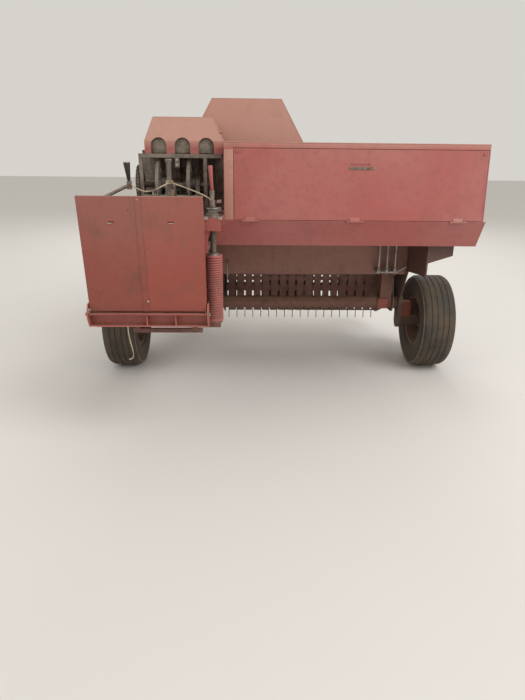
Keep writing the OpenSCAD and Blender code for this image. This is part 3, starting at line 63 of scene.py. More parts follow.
# Lengths below are millimetres in the axle frame: X right of the chamber's middle, Y forward of the axle
ORIGIN = Vector((755.0, 1264.497, 0.0))
TO_ROW = Matrix.Scale(0.001, 4) @ move(-ORIGIN)
# From the chute's own frame, and from the drawbar's, to the axle frame
CHUTE = move((0, -1457, 840)) @ turn(math.radians(5), "X")
TONGUE = move((0, 2450, 0)) @ turn(math.radians(-17), "Z")

LEFT, RIGHT, REAR, FORE, DOWN, UP = (-1, 0, 0), (1, 0, 0), (0, -1, 0), (0, 1, 0), (0, 0, -1), (0, 0, 1)
WALL_OUT, RIB_X = 238, 263
BOX_X, BOX_REAR, BOX_Z = (358, 2018), -800, (1100, 1270, 1700, 1736)
DOOR_H, DOOR_LEAN = 430, 45 * 430 / 466
WHEEL_X = {"left": -488, "right": 1998}
TYRE_R = 375
GAUGE = Vector((1845, 798.6, 482.6))
SPRING_X, BEAM_Y = 320, -1300
SPRING_Z, BEAM_Z = (764, 1141), (1274, 1344)
KNOTTER_Y, KNOTTER_Z = -330, 1460
REEL = Vector((0, 550, 530))
PICKUP_X, TINE_X, TINE_PITCH = (290, 1690), 328, 74
SHAFT_Z = 1030
CHUTE_SEAM_X = -27
COIL_R, THREAD_R, THREAD_WIRE = 44, 15, 3.4
STUD_CIRCLE_R, LUGS, CHAIN_LINKS = 75, 44, 40
# The camera: its place in metres, tilt, turn and roll in degrees, focal length and picture height in pixels
EYE, EYE_TURNS, FOCAL, PICTURE_H = (-0.235, -5.4845, 1.65), (20.15, 1.5, 0.6), 526, 700

# The stage: lamps by name, place in metres and watts, their size, the floor's size and the sky's strength
LAMPS = (("key", (4.8, -6.0, 6.5), 400), ("fill", (-6.0, -5.0, 4.0), 95), ("back", (0.5, 7.0, 6.0), 260))
LAMP_SIZE, FLOOR_SIZE, SKY_STRENGTH = 5.0, 40.0, 0.75

# Points to each span of a cord's line, strands laid up in it, and their radius as a share of its diameter
SPAN_STEPS, STRANDS, STRAND_R = 6, 3, 0.27
ROPE_ROUTE = [
    (-121.9, -1220.7, 1500), (-113.3, -1225.8, 1497), (-97, -1222, 1485), (-75, -1212, 1473),
    (-51, -1200, 1466), (-18, -1190, 1469), (8, -1176, 1479), (30, -1160, 1490), (52, -1145, 1502),
    (72, -1139.3, 1510), (95, -1143, 1507), (125, -1155, 1498), (162, -1170, 1487),
    (200, -1190, 1475), (236, -1208, 1463), (270, -1229, 1450), (290, -1240, 1440.5),
    (300.5, -1244.6, 1433.4), (308.7, -1245, 1427.2),
]
TAIL_ROUTE = [
    (-150, -1441, 765.7), (-150, -1441, 750), (-149, -1441, 725), (-146, -1440, 698),
    (-142, -1438, 670), (-137, -1437, 642), (-133, -1436, 615), (-133, -1436, 594),
    (-138, -1436, 580), (-148, -1437, 573), (-158, -1438, 572),
]


def length(name, text, default, low, high):
    """A length that a user may change, in metres."""
    return FloatProperty(name=name, description=text, default=default, min=low, max=high,
                         unit="LENGTH", subtype="DISTANCE")


def colour(name, text, default):
    """A colour that a user may change."""
    return FloatVectorProperty(name=name, description=text, default=default, size=3, min=0, max=1,
                               subtype="COLOR")


class BalerSizes(PropertyGroup):
    """Sizes of the fittings"""

    spring_wire: length("Spring wire", "Wire diameter of the tension springs", 0.012, 0.01, 0.012)
    spring_turns: IntProperty(
        name="Spring turns", description="Turns of wire in one tension spring",
        default=29, min=24, max=30)
    bolt: length("Bolt", "Thread diameter of the usual bolt", 0.010, 0.008, 0.012)
    rope: length("Rope", "Diameter of the tie rope", 0.008, 0.006, 0.01)
    twine: length("Twine", "Diameter of the loose twine end", 0.006, 0.004, 0.008)
    tread_depth: length("Tread depth", "Depth of the grooves between the tyres' ribs", 0.0055, 0.003, 0.009)


class BalerColours(PropertyGroup):
    """Base colours of the finishes"""

    panel: colour("Panels", "Sun-faded red of the twine box and hoods", (0.37, 0.094, 0.082))
    # Partly painted shade: a darker copy of the panels' red, for the shade on the chute and the chamber as
    # well as their dirt.
    chute: colour("Chute", "Red of the bale chute", (0.255, 0.047, 0.031))
    chassis: colour("Chassis", "Dull red of the frame and the running gear", (0.22, 0.072, 0.054))
    soil: colour("Soil", "Dry soil and hay dust", (0.23, 0.165, 0.105))
    rust: colour("Rust", "Rust under worn paint", (0.12, 0.048, 0.022))
    rubber: colour("Rubber", "Weathered tyre rubber", (0.032, 0.029, 0.027))
    floor: colour("Floor", "Studio floor", (0.72, 0.70, 0.67))


def sizes():
    return bpy.context.scene.baler_sizes


def colours():
    return bpy.context.scene.baler_colours


def tint(colour, k=1.0):
    """A colour scaled in brightness, with its alpha."""
    return tuple(min(1.0, c * k) for c in colour) + (1.0,)


# Finishes


class Finish:
    """A material whose nodes are added one by one; its coordinates are metres of the whole machine."""

    def __init__(self, name, roughness=0.5, metallic=0.0, specular=0.5):
        self.material = bpy.data.materials.new(name)
        self.material.use_nodes = True
        self.tree = self.material.node_tree
        self.tree.nodes.clear()
        self.shader = self.node("ShaderNodeBsdfPrincipled", Roughness=roughness, Metallic=metallic,
                                Specular_IOR_Level=specular)
        self.node("ShaderNodeOutputMaterial", Surface=self.shader.outputs[0])
        self.place = self.node("ShaderNodeTexCoord").outputs["Object"]

    def feed(self, socket, value):
        """Links an output to a socket, or sets the socket's own value."""
        if isinstance(value, bpy.types.NodeSocket):
            self.tree.links.new(value, socket)
        elif value is not None:
            socket.default_value = value

    def node(self, kind, **inputs):
        """A node with its inputs fed by name."""
        node = self.tree.nodes.new(kind)
        for name, value in inputs.items():
            self.feed(node.inputs[name.replace("_", " ")], value)
        return node

    def noise(self, scale, detail, rough=0.55, stretch=None, distortion=0.0):
        """Noise of so many features a metre, stretched along an axis where asked."""
        place = self.place
        if stretch:
            place = self.node("ShaderNodeMapping", Vector=place, Scale=stretch).outputs[0]
        return self.node("ShaderNodeTexNoise", Vector=place, Scale=scale, Detail=detail,
                         Roughness=rough, Distortion=distortion).outputs["Fac"]

    def cells(self, scale):
        """Distance to the nearest of so many scattered points a metre."""
        return self.node("ShaderNodeTexVoronoi", Vector=self.place, Scale=scale).outputs["Distance"]

    def span(self, value, low, high, to_low=0.0, to_high=1.0):
        """A value's range stretched to another, held at its ends."""
        node = self.node("ShaderNodeMapRange", Value=value, From_Min=low, From_Max=high,
                         To_Min=to_low, To_Max=to_high)
        node.interpolation_type = "SMOOTHSTEP"
        return node.outputs[0]

    def calc(self, kind, a, b):
        node = self.tree.nodes.new("ShaderNodeMath")
        node.operation = kind
        self.feed(node.inputs[0], a)
        self.feed(node.inputs[1], b)
        return node.outputs[0]

    def times(self, a, b):
        return self.calc("MULTIPLY", a, b)

    def plus(self, a, b):
        return self.calc("ADD", a, b)

    def axis(self, name):
        """One coordinate of the place, in metres of the row frame."""
        return self.node("ShaderNodeSeparateXYZ", Vector=self.place).outputs[name]

    def facing_up(self):
        normal = self.node("ShaderNodeNewGeometry").outputs["Normal"]
        return self.node("ShaderNodeSeparateXYZ", Vector=normal).outputs["Z"]

    def edges(self, radius=0.005):
        """Bright where a sharp edge is near."""
        bevel = self.node("ShaderNodeBevel", Radius=radius)
        bevel.samples = 4
        dot = self.tree.nodes.new("ShaderNodeVectorMath")
        dot.operation = "DOT_PRODUCT"
        self.feed(dot.inputs[0], bevel.outputs[0])
        self.feed(dot.inputs[1], self.node("ShaderNodeNewGeometry").outputs["Normal"])
        return self.span(dot.outputs["Value"], 0.99, 0.86)

    def corners(self, distance=0.12):
        """Bright in corners and under covers, from ambient occlusion: where shade falls and where dirt
        gathers.
        """
        node = self.node("ShaderNodeAmbientOcclusion", Distance=distance)
        node.samples = 6
        return self.span(node.outputs["AO"], 0.85, 0.25)

    def mix(self, a, b, amount):
        node = self.tree.nodes.new("ShaderNodeMix")
        node.data_type = "RGBA"
        self.feed(node.inputs["Factor"], amount)
        for socket, value in zip([s for s in node.inputs if s.type == "RGBA"], (a, b)):
            self.feed(socket, value)
        return [s for s in node.outputs if s.type == "RGBA"][0]

    def finished(self, tone, rough=None, *bumps):
        """The material in its colour and roughness; bumps are (height, strength, distance in metres)."""
        normal = None
        for height, strength, distance in bumps:
            normal = self.node("ShaderNodeBump", Height=height, Strength=strength, Distance=distance,
                               Normal=normal).outputs[0]
        for name, value in (("Base Color", tone), ("Roughness", rough), ("Normal", normal)):
            self.feed(self.shader.inputs[name], value)
        return self.material


def paint(name, red, fade, grime, dust, rust, split=None, painted_glare=0.0, painted_haze=0.0):
    """Old red paint: sun-faded patches, streaks, dust on ledges, rust on edges, darker towards the bottom,
    dirt with painted shade in corners, edges pale from wear and painted highlight; where asked, painted light
    on one sheet, painted haze higher up and painted sky glare on the tops.
    """
    f = Finish(name)
    soil = colours().soil
    pale = tuple(min(1.0, 0.62 * c + 0.30 * g) for c, g in zip(red, (0.62, 0.42, 0.36))) + (1.0,)
    broad = f.noise(1.7, 4, 0.5)
    fine = f.noise(26, 6, 0.65)
    tone = f.mix(tint(red), pale, f.span(broad, 0.35, 0.68, 0.0, fade))
    tone = f.mix(tone, tint(red, 0.62), f.span(fine, 0.45, 0.75, 0.0, 0.35))
    # Painted light: the sheet right of the seam is lighter, as if lit while the left sheet lies in shade.
    if split is not None:
        side = f.calc("GREATER_THAN", f.axis("X"), split)
        tone = f.mix(tone, tint(red, 1.45), f.times(side, 0.42))
    # Painted haze: paler higher up.
    if painted_haze:
        tone = f.mix(tone, pale, f.span(f.axis("Z"), 1.0, 1.45, 0.0, painted_haze))
    # Painted sky glare: pale on the tops, from just under the twine box's rim upwards.
    if painted_glare:
        tone = f.mix(tone, (0.56, 0.36, 0.27, 1), f.span(f.axis("Z"), 1.69, 1.76, 0.0, painted_glare))
    streaks = f.noise(1.0, 5, 0.6, stretch=(34, 34, 1.3))
    runs = f.times(f.span(streaks, 0.52, 0.72), f.span(broad, 0.4, 0.6, 0.3, 1.0))
    tone = f.mix(tone, tint(soil, 0.55), f.times(runs, 0.55 * grime))
    # Dirt in patches, with painted shade in corners and under covers.
    dirt_and_shade = f.plus(f.span(f.noise(5.5, 8, 0.62), 0.5, 0.78, 0.0, grime),
                   f.times(f.corners(), 0.75 * grime + 0.1))
    # Darker towards the bottom.
    low = f.times(f.span(f.axis("Z"), 1.15, 0.25, 0.0, grime), f.span(fine, 0.3, 0.6, 0.4, 1.0))
    dirt_and_shade = f.calc("MINIMUM", f.plus(dirt_and_shade, low), 0.9)
    tone = f.mix(tone, tint(soil, 0.42), dirt_and_shade)
    # Pale edges: partly wear, partly painted highlight.
    worn = f.times(f.edges(), f.span(f.noise(14, 5, 0.6), 0.42, 0.6))
    tone = f.mix(tone, pale, f.times(worn, 0.45))
    spots = f.span(f.noise(19, 9, 0.72, distortion=0.4), 0.66 - 0.09 * rust, 0.72 - 0.06 * rust)
    bites = f.times(spots, f.calc("MINIMUM", f.plus(f.span(broad, 0.5, 0.7), worn), 1.0))
    tone = f.mix(tone, tint(colours().rust), f.times(bites, min(1.0, 0.5 + rust)))
    settled = f.times(f.span(f.facing_up(), 0.25, 0.95),
                      f.span(f.noise(8, 6, 0.6), 0.3, 0.62, 0.35, 1.0))
    tone = f.mix(tone, tint(soil, 1.15), f.times(settled, dust))
    dull = f.plus(f.plus(dirt_and_shade, settled), f.times(fine, 0.4))
    return f.finished(tone, f.span(dull, 0.1, 1.3, 0.42, 0.88), (f.noise(2.6, 2, 0.4), 0.175, 0.012),
                      (f.noise(210, 3, 0.6), 0.12, 0.001), (bites, 0.5, 0.0008))


def steel(name, base, rust, metal, grease_and_shade=0.3, rough=0.42):
    """Bare or part-worn steel with rust, dust, and old grease with painted shade in its corners."""
    f = Finish(name, roughness=rough, metallic=metal)
    fine = f.noise(32, 8, 0.7)
    broad = f.noise(4.5, 4, 0.6)
    tone = f.mix(tint(base), tint(base, 0.5), f.span(fine, 0.35, 0.7))
    patches = f.span(f.plus(broad, f.times(fine, 0.5)), 0.92 - 0.28 * rust, 1.02 - 0.12 * rust)
    tone = f.mix(tone, tint(colours().rust, 1.1), patches)
    # Near-black in corners and under covers: old grease and painted shade.
    tone = f.mix(tone, (0.012, 0.009, 0.007, 1), f.times(f.corners(0.06), grease_and_shade))
    settled = f.times(f.span(f.facing_up(), 0.3, 0.95), f.span(broad, 0.35, 0.65, 0.25, 0.8))
    tone = f.mix(tone, tint(colours().soil, 0.9), settled)
    dull = f.calc("MAXIMUM", patches, settled)
    f.feed(f.shader.inputs["Metallic"], f.span(dull, 0.0, 1.0, metal, 0.05))
    return f.finished(tone, f.span(dull, 0.0, 1.0, rough, 0.85), (fine, 0.3, 0.0012),
                      (f.noise(120, 3, 0.6), 0.15, 0.0006))


def rubber(name, base, dust=0.6):
    """Weathered rubber with dry soil in its grooves and fine cracks."""
    f = Finish(name, roughness=0.8, specular=0.3)
    fine = f.noise(48, 8, 0.7)
    tone = f.mix(tint(base), tint(base, 1.9), f.span(fine, 0.4, 0.7, 0.0, 0.7))
    film = f.times(f.span(f.noise(5, 5, 0.6), 0.32, 0.68, 0.15, 1.0), dust)
    film = f.calc("MAXIMUM", film, f.times(f.corners(0.03), 0.8))
    low = f.times(f.span(f.axis("Z"), 0.16, 0.0, 0.0, 0.75), f.span(fine, 0.3, 0.6))
    film = f.calc("MINIMUM", f.plus(film, low), 0.85)
    return f.finished(f.mix(tone, tint(colours().soil, 0.62), film), f.span(film, 0.0, 0.8, 0.62, 0.93),
                      (fine, 0.25, 0.0015), (f.cells(130), 0.12, 0.0008))


def plastic(name, base):
    """Moulded black guard plastic, scuffed grey along its ridges."""
    f = Finish(name)
    fine = f.noise(60, 6, 0.65)
    tone = f.mix(tint(base), tint(base, 2.6), f.times(f.edges(0.004), f.span(fine, 0.35, 0.6)))
    settled = f.times(f.span(f.facing_up(), 0.2, 0.9), f.span(f.noise(9, 5), 0.35, 0.65, 0.2, 0.8))
    return f.finished(f.mix(tone, tint(colours().soil), settled),
                      f.span(f.plus(fine, settled), 0.3, 1.2, 0.38, 0.8), (f.noise(320, 2), 0.15, 0.0005))


def twine_fibre(name, base):
    """Hairy plant fibre with darker, dirty stretches."""
    f = Finish(name, roughness=0.9, specular=0.2)
    fine = f.noise(420, 6, 0.7)
    tone = f.mix(tint(base), tint(base, 0.45), f.span(fine, 0.4, 0.7, 0.0, 0.8))
    dirt = f.span(f.noise(16, 4), 0.5, 0.72, 0.0, 0.7)
    return f.finished(f.mix(tone, tint(colours().soil, 0.6), dirt), None, (fine, 0.6, 0.0006))


def finishes():
    """The finishes by name, made once."""
    if not finishes.made:
        c = colours()
        finishes.made = {
            # Painted sky glare on the upper parts of the box, hoods and cover.
            "panel": paint("faded_panel_red", tuple(c.panel), fade=0.4, grime=0.2, dust=0.5, rust=0.2,
                           painted_glare=0.55),
            # Partly painted shade in its darker red; painted light on the sheet right of the seam, and
            # painted haze higher up.
            "chute": paint("chute_red", tuple(c.chute), fade=0.22, grime=0.4, dust=0.5, rust=0.3,
                           split=(CHUTE_SEAM_X - ORIGIN.x) / 1000, painted_haze=0.36),
            # Partly painted shade, in the chute's darker red.
            "chamber": paint("chamber_red", tuple(c.chute), fade=0.2, grime=0.55, dust=0.6, rust=0.4),
            "chassis": paint("chassis_red", tuple(c.chassis), fade=0.15, grime=0.75, dust=0.7, rust=0.5),
            # Partly painted light: a brighter copy of the panels' red, lifting springs that stand in shade.
            "spring": paint("spring_red", tint(c.panel, 1.1)[:3], fade=0.15, grime=0.35, dust=0.4, rust=0.3),
            "worn": paint("bleached_strip_red", (0.42, 0.20, 0.15), fade=0.2, grime=0.35, dust=0.5, rust=0.3),
            # Partly painted light: a lighter red that lifts the sill's recessed, shaded web.
            "sill": paint("sill_red", (0.45, 0.118, 0.09), fade=0.1, grime=0.2, dust=0.4, rust=0.25),
            # Painted shade: a dark copy of the red for the side plate and knuckles that lie in shadow.
            "shade": paint("shaded_red", (0.10, 0.048, 0.038), fade=0.0, grime=0.6, dust=0.5, rust=0.4),
            # Partly painted light: a lighter, browner red for the hazy open light at the feeder, along with
            # its dust.
            "feeder": paint("feeder_red", (0.28, 0.125, 0.09), fade=0.1, grime=0.55, dust=0.7, rust=0.4),
            "fastener": steel("zinc_bolts", (0.30, 0.28, 0.25), rust=0.55, metal=0.7),
            "iron": steel("cast_iron", (0.25, 0.21, 0.17), rust=0.35, metal=0.3, grease_and_shade=0.5, rough=0.62),
            # Painted light: a pale iron for the haze in the hood's arches and the highlight on the tyres'
            # shoulders.
            "pale_painted_light": steel("pale_painted_light_iron", (0.30, 0.25, 0.19), rust=0.25, metal=0.1, rough=0.8),
            "pale": steel("bright_zinc", (0.50, 0.45, 0.38), rust=0.15, metal=0.25, grease_and_shade=0.1, rough=0.45),
            "works": steel("oiled_steel", (0.25, 0.215, 0.18), rust=0.45, metal=0.45, grease_and_shade=0.55, rough=0.5),
            "rod": steel("galvanised_rod", (0.40, 0.39, 0.37), rust=0.2, metal=0.8, grease_and_shade=0.2, rough=0.38),
            "rubber": rubber("tyre_rubber", tuple(c.rubber)),
            "grip": rubber("grip_rubber", (0.02, 0.019, 0.019), dust=0.25),
            "plastic": plastic("guard_plastic", (0.018, 0.018, 0.019)),
            "fibre": twine_fibre("twine_fibre", (0.60, 0.52, 0.37)),
        }
    return finishes.made


finishes.made = {}

NODE_FINISH = {
    "panel": ["twine_box", "twine_door", "knotter_hood", "feeder_cover", "tension_flap"],
    "chute": ["bale_chute"],
    "chamber": ["chamber_floor", "chamber_left_wall", "chamber_right_wall", "chamber_roof",
                "plunger_cover", "flywheel_guard", "knotter_drive", "pickup_sides",
                "pickup_drive_cover"],
    "chassis": ["spring_anchors", "axle_beam",
                "front_frame", "left_rim", "right_rim", "flywheel", "drawbar",
                "jack_tube", "gauge_arm", "windguard"],
    "spring": ["tension_springs"],
    "sill": ["chute_sill"],
    "shade": ["feed_side_plate", "right_knuckle", "left_knuckle"],
    "feeder": ["feed_floor", "feed_back_wall", "feed_roof", "pickup_bands"],
    "iron": ["knotter_frames", "hood_frame", "gearbox", "feeder_gear", "pickup_reel"],
    "works": ["tension_cranks", "feeder_forks", "knotter_shaft", "needle_yoke", "meter_bracket",
              "meter_wheel"],
    "rod": ["lift_rods", "jack_leg"],
    "rubber": ["left_tyre", "right_tyre", "gauge_wheel"],
    "plastic": ["driveline"],
    "fibre": ["tie_rope", "twine_tail"],
}


# Shapes: each adds to a bmesh, in millimetres of the axle frame or of the part it is placed with


def shapes(count):
    """So many empty shapes."""
    return [bmesh.new() for _ in range(count)]


def edges_of(made):
    """The edges of a shape just made."""
    return list({e for v in made["verts"] for e in v.link_edges})


def facing(out):
    """The turn that points a shape's own Z along a direction."""
    return Vector(out).to_track_quat("Z", "Y").to_matrix().to_4x4()


def soften(bm, edges, width, segments=2):
    """Rounds the edges off by a width."""
    bmesh.ops.bevel(bm, geom=edges, offset=width, offset_type="OFFSET", segments=segments,
                    profile=0.5, affect="EDGES", clamp_overlap=True, material=-1)


def slab(bm, x, y, z, edge=0.0, place=None, segments=2):
    """A plate or bar between two values on each axis, with softened edges where asked."""
    middle = [(low + high) / 2 for low, high in (x, y, z)]
    size = [abs(high - low) for low, high in (x, y, z)]
    made = bmesh.ops.create_cube(
        bm, size=1.0, matrix=(place or Matrix()) @ move(middle) @ Matrix.Diagonal(size).to_4x4())
    if edge:
        soften(bm, edges_of(made), edge, segments)


def rod(bm, a, b, r, r_end=None, sides=16, edge=0.0):
    """A round or many-sided bar from a to b, tapered where asked."""
    a, b = Vector(a), Vector(b)
    made = bmesh.ops.create_cone(
        bm, cap_ends=True, segments=sides, radius1=r, radius2=r if r_end is None else r_end,
        depth=(b - a).length, matrix=move((a + b) / 2) @ facing(b - a))
    if edge:
        caps = [e for e in edges_of(made) if any(len(f.verts) > 4 for f in e.link_faces)]
        soften(bm, caps, edge)


def bolt(bm, place, out, d=None, washer=True):
    """A hexagon head on its washer, standing on the surface at place and facing out."""
    d = d or sizes().bolt * 1000
    place, out = Vector(place), Vector(out).normalized()
    start = place - out * 0.5
    if washer:
        rod(bm, start, place + out * 0.2 * d, d * 1.15, sides=18)
        start = place + out * 0.2 * d
    rod(bm, start, place + out * 0.75 * d, d * 0.93, sides=6)
    rod(bm, place + out * 0.75 * d, place + out * 0.85 * d, d * 0.93, d * 0.78, sides=6)


def nut(bm, place, out, d):
    """A nut on its washer with the thread's end through it."""
    place, out = Vector(place), Vector(out).normalized()
    rod(bm, place - out * 0.5, place + out * 0.18 * d, d * 1.15, sides=20)
    rod(bm, place + out * 0.18 * d, place + out * 0.98 * d, d * 0.95, sides=6)
    rod(bm, place + out * 0.98 * d, place + out * 1.35 * d, d * 0.5, d * 0.42, sides=12)


def rivet(bm, place, out, r):
    """A low round head."""
    bmesh.ops.create_uvsphere(bm, u_segments=10, v_segments=6, radius=r, matrix=move(Vector(place))
                              @ facing(out) @ Matrix.Diagonal((1, 1, 0.5, 1)))


def spread(kind, bm, xs, ys, zs, out, *size):
    """A bolt, nut or rivet at each crossing of the values on the three axes."""
    for place in product(*((v,) if isinstance(v, (int, float)) else v for v in (xs, ys, zs))):
        kind(bm, place, out, *size)


def along(a, b, count):
    """Points spread evenly from a to b."""
    return [Vector(a).lerp(Vector(b), i / (count - 1)) for i in range(count)]


def row(kind, bm, a, b, count, out, *size):
    """Bolts or rivets spread evenly from a to b."""
    for place in along(a, b, count):
        kind(bm, place, out, *size)


def circle(kind, bm, centre, r, count, out, *size, start=0.0):
    """Bolts or nuts evenly round a centre, facing along X or Y."""
    for k in range(count):
        a = math.tau * (k + start) / count
        arm = (0, math.sin(a), math.cos(a)) if out[0] else (math.sin(a), 0, math.cos(a))
        kind(bm, Vector(centre) + Vector(arm) * r, out, *size)


def copied(bm, stamp, places):
    """Adds a copy of a small shape at each place, and lets the shape go."""
    mesh = bpy.data.meshes.new("stamp")
    stamp.to_mesh(mesh)
    stamp.free()
    count = len(mesh.vertices)
    group = bmesh.new()
    for k, place in enumerate(places):
        group.from_mesh(mesh)
        group.verts.ensure_lookup_table()
        bmesh.ops.transform(group, matrix=place, verts=group.verts[k * count:])
    group.to_mesh(mesh)
    group.free()
    bm.from_mesh(mesh)
    bpy.data.meshes.remove(mesh)


def coil(bm, a, b, radius, wire, turns, steps, sides):
    """A helix of round wire in whole turns about the line from a to b."""
    a, b = Vector(a), Vector(b)
    lead = (b - a) / turns
    axis, side = lead.normalized(), lead.orthogonal().normalized()
    once, whole = bmesh.new(), bmesh.new()
    ring = bmesh.ops.create_circle(once, segments=sides, radius=wire / 2, matrix=move(
        a + side * radius) @ facing(axis.cross(side)))
    bmesh.ops.spin(once, geom=ring["verts"] + edges_of(ring), cent=a, axis=axis,
                   dvec=lead / steps, angle=math.tau, steps=steps, use_merge=False)
    copied(whole, once, [move(lead * i) for i in range(turns)])
    bmesh.ops.remove_doubles(whole, verts=whole.verts, dist=0.01)
    bmesh.ops.holes_fill(whole, edges=whole.edges)
    copied(bm, whole, [Matrix()])


def turned(bm, outline, centre, axis, steps):
    """An outline of (distance along the axis, radius) points turned once about the axis."""
    centre, axis = Vector(centre), Vector(axis).normalized()
    side = axis.orthogonal().normalized()
    verts = [bm.verts.new(centre + axis * u + side * r) for u, r in outline]
    closed = [bm.edges.new((p, q)) for p, q in zip(verts, verts[1:] + verts[:1])]
    before = len(bm.verts)
    bmesh.ops.spin(bm, geom=verts + closed, cent=centre, axis=axis, dvec=(0, 0, 0),
                   angle=math.tau, steps=steps, use_merge=True)
    bm.verts.ensure_lookup_table()
    fresh = [v for v in bm.verts if v.index == -1 or v.index >= before - len(outline)]
    bmesh.ops.remove_doubles(bm, verts=fresh, dist=0.02)


def bent(bm, points, r, smooth=True, rounds=2):
    """A bent round wire through the points."""
    curve = bpy.data.curves.new("wire", "CURVE")
    curve.dimensions = "3D"
    curve.bevel_depth = r
    curve.bevel_resolution = rounds
    curve.resolution_u = 6 if smooth else 1
    curve.use_fill_caps = True
    spline = curve.splines.new("BEZIER" if smooth else "POLY")
    if smooth:
        spline.bezier_points.add(len(points) - 1)
        for p, co in zip(spline.bezier_points, points):
            p.co = co
            p.handle_left_type = p.handle_right_type = "AUTO"
    else:
        spline.points.add(len(points) - 1)
        for p, co in zip(spline.points, points):
            p.co = (*co, 1)
    carrier = bpy.data.objects.new("wire", curve)
    mesh = bpy.data.meshes.new_from_object(carrier)
    bm.from_mesh(mesh)
    bpy.data.objects.remove(carrier)
    bpy.data.curves.remove(curve)
    bpy.data.meshes.remove(mesh)


def dressed(name, bm, finish, body="frame"):
    """The object of a shape in the row frame: smooth, in its finish and riding on its body."""
    mesh = bpy.data.meshes.new(name)
    bm.to_mesh(mesh)
    bm.free()
    mesh.shade_smooth()
    obj = bpy.data.objects.new(name, mesh)
    bpy.context.scene.collection.objects.link(obj)
    mesh.materials.append(finishes()[finish])
    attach(obj, body)
    return obj


def piece(name, bm, finish, body="frame", place=None, smooth=38.0):
    """The finished object of a shape in millimetres: normals outward, edges past so many degrees sharp."""
    bmesh.ops.recalc_face_normals(bm, faces=bm.faces)
    bmesh.ops.transform(bm, matrix=TO_ROW @ (place or Matrix()), verts=bm.verts)
    obj = dressed(name, bm, finish, body)
    obj.data.set_sharp_from_angle(angle=math.radians(smooth))
    return obj


# Operators: one for each group of pieces


class BALER_OT_camera(Operator):
    """Puts the camera behind the machine, a little above the twine box's door"""

    bl_idname = "baler.camera"
    bl_label = "Camera"

    def execute(self, context):
        tilt, pan, roll = (math.radians(a) for a in EYE_TURNS)
        look = Vector((math.sin(pan) * math.cos(tilt), math.cos(pan) * math.cos(tilt), -math.sin(tilt)))
        level = Vector((math.cos(pan), -math.sin(pan), 0))
        up = level.cross(look)
        right = level * math.cos(roll) + up * math.sin(roll)
        upright = -level * math.sin(roll) + up * math.cos(roll)
        data = bpy.data.cameras.new("camera")
        data.sensor_width = 36
        data.lens = FOCAL * data.sensor_width / PICTURE_H
        data.clip_end = 200
        camera = bpy.data.objects.new("camera", data)
        camera.matrix_world = move(EYE) @ Matrix((right, upright, -look)).transposed().to_4x4()
        context.scene.collection.objects.link(camera)
        context.scene.camera = camera
        return {"FINISHED"}


def route_points(route):
    """The smooth line of a cord through its route, in metres of the row frame."""
    pts = [TO_ROW @ Vector(p) for p in route]
    line = []
    for i in range(len(pts) - 1):
        p0, p1, p2, p3 = pts[max(i - 1, 0)], pts[i], pts[i + 1], pts[min(i + 2, len(pts) - 1)]
        for k in range(SPAN_STEPS):
            u = k / SPAN_STEPS
            line.append(0.5 * (2 * p1 + (p2 - p0) * u + (2 * p0 - 5 * p1 + 4 * p2 - p3) * u * u
                               + (3 * p1 - p0 - 3 * p2 + p3) * u ** 3))
    return line + [pts[-1]]


def laid_cord(name, route, diameter, node, twist=0.03):
    """A cord laid up from strands that wind round its line."""
    line = route_points(route)
    reach = [0.0]
    for p, q in zip(line, line[1:]):
        reach.append(reach[-1] + (q - p).length)
    strand_r = diameter * STRAND_R
    offset = diameter / 2 - strand_r
    bm = bmesh.new()
    for s in range(STRANDS):
        wound = []
        for i, (p, run) in enumerate(zip(line, reach)):
            heading = (line[min(i + 1, len(line) - 1)] - line[max(i - 1, 0)]).normalized()
            side = heading.cross(Vector((0.12, 0.9, 0.42))).normalized()
            other = heading.cross(side)
            a = math.tau * (run / twist + s / STRANDS)
            wound.append(p + offset * (math.cos(a) * side + math.sin(a) * other))
        bent(bm, wound, strand_r, smooth=False, rounds=1)
    bmesh.ops.recalc_face_normals(bm, faces=bm.faces)
    obj = dressed(name, bm, "fibre")
    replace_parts(obj, node)


class BALER_OT_cords(Operator):
    """Lays the tie rope from crank to crank and hangs the loose end of twine"""

    bl_idname = "baler.cords"
    bl_label = "Rope and twine"

    def execute(self, context):
        laid_cord("tie_rope_strands", ROPE_ROUTE, sizes().rope, "tie_rope")
        laid_cord("twine_end", TAIL_ROUTE, sizes().twine, "twine_tail", twist=0.018)
        return {"FINISHED"}


class BALER_OT_finishes(Operator):
    """Gives every part of the frame its finish"""

    bl_idname = "baler.finishes"
    bl_label = "Finishes"

    def execute(self, context):
        left = set(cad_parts)
        for finish, names in NODE_FINISH.items():
            for name in names:
                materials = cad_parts[name].data.materials
                materials.clear()
                materials.append(finishes()[finish])
                left.discard(name)
        if left:
            raise RuntimeError(f"no finish for {sorted(left)}")
        return {"FINISHED"}


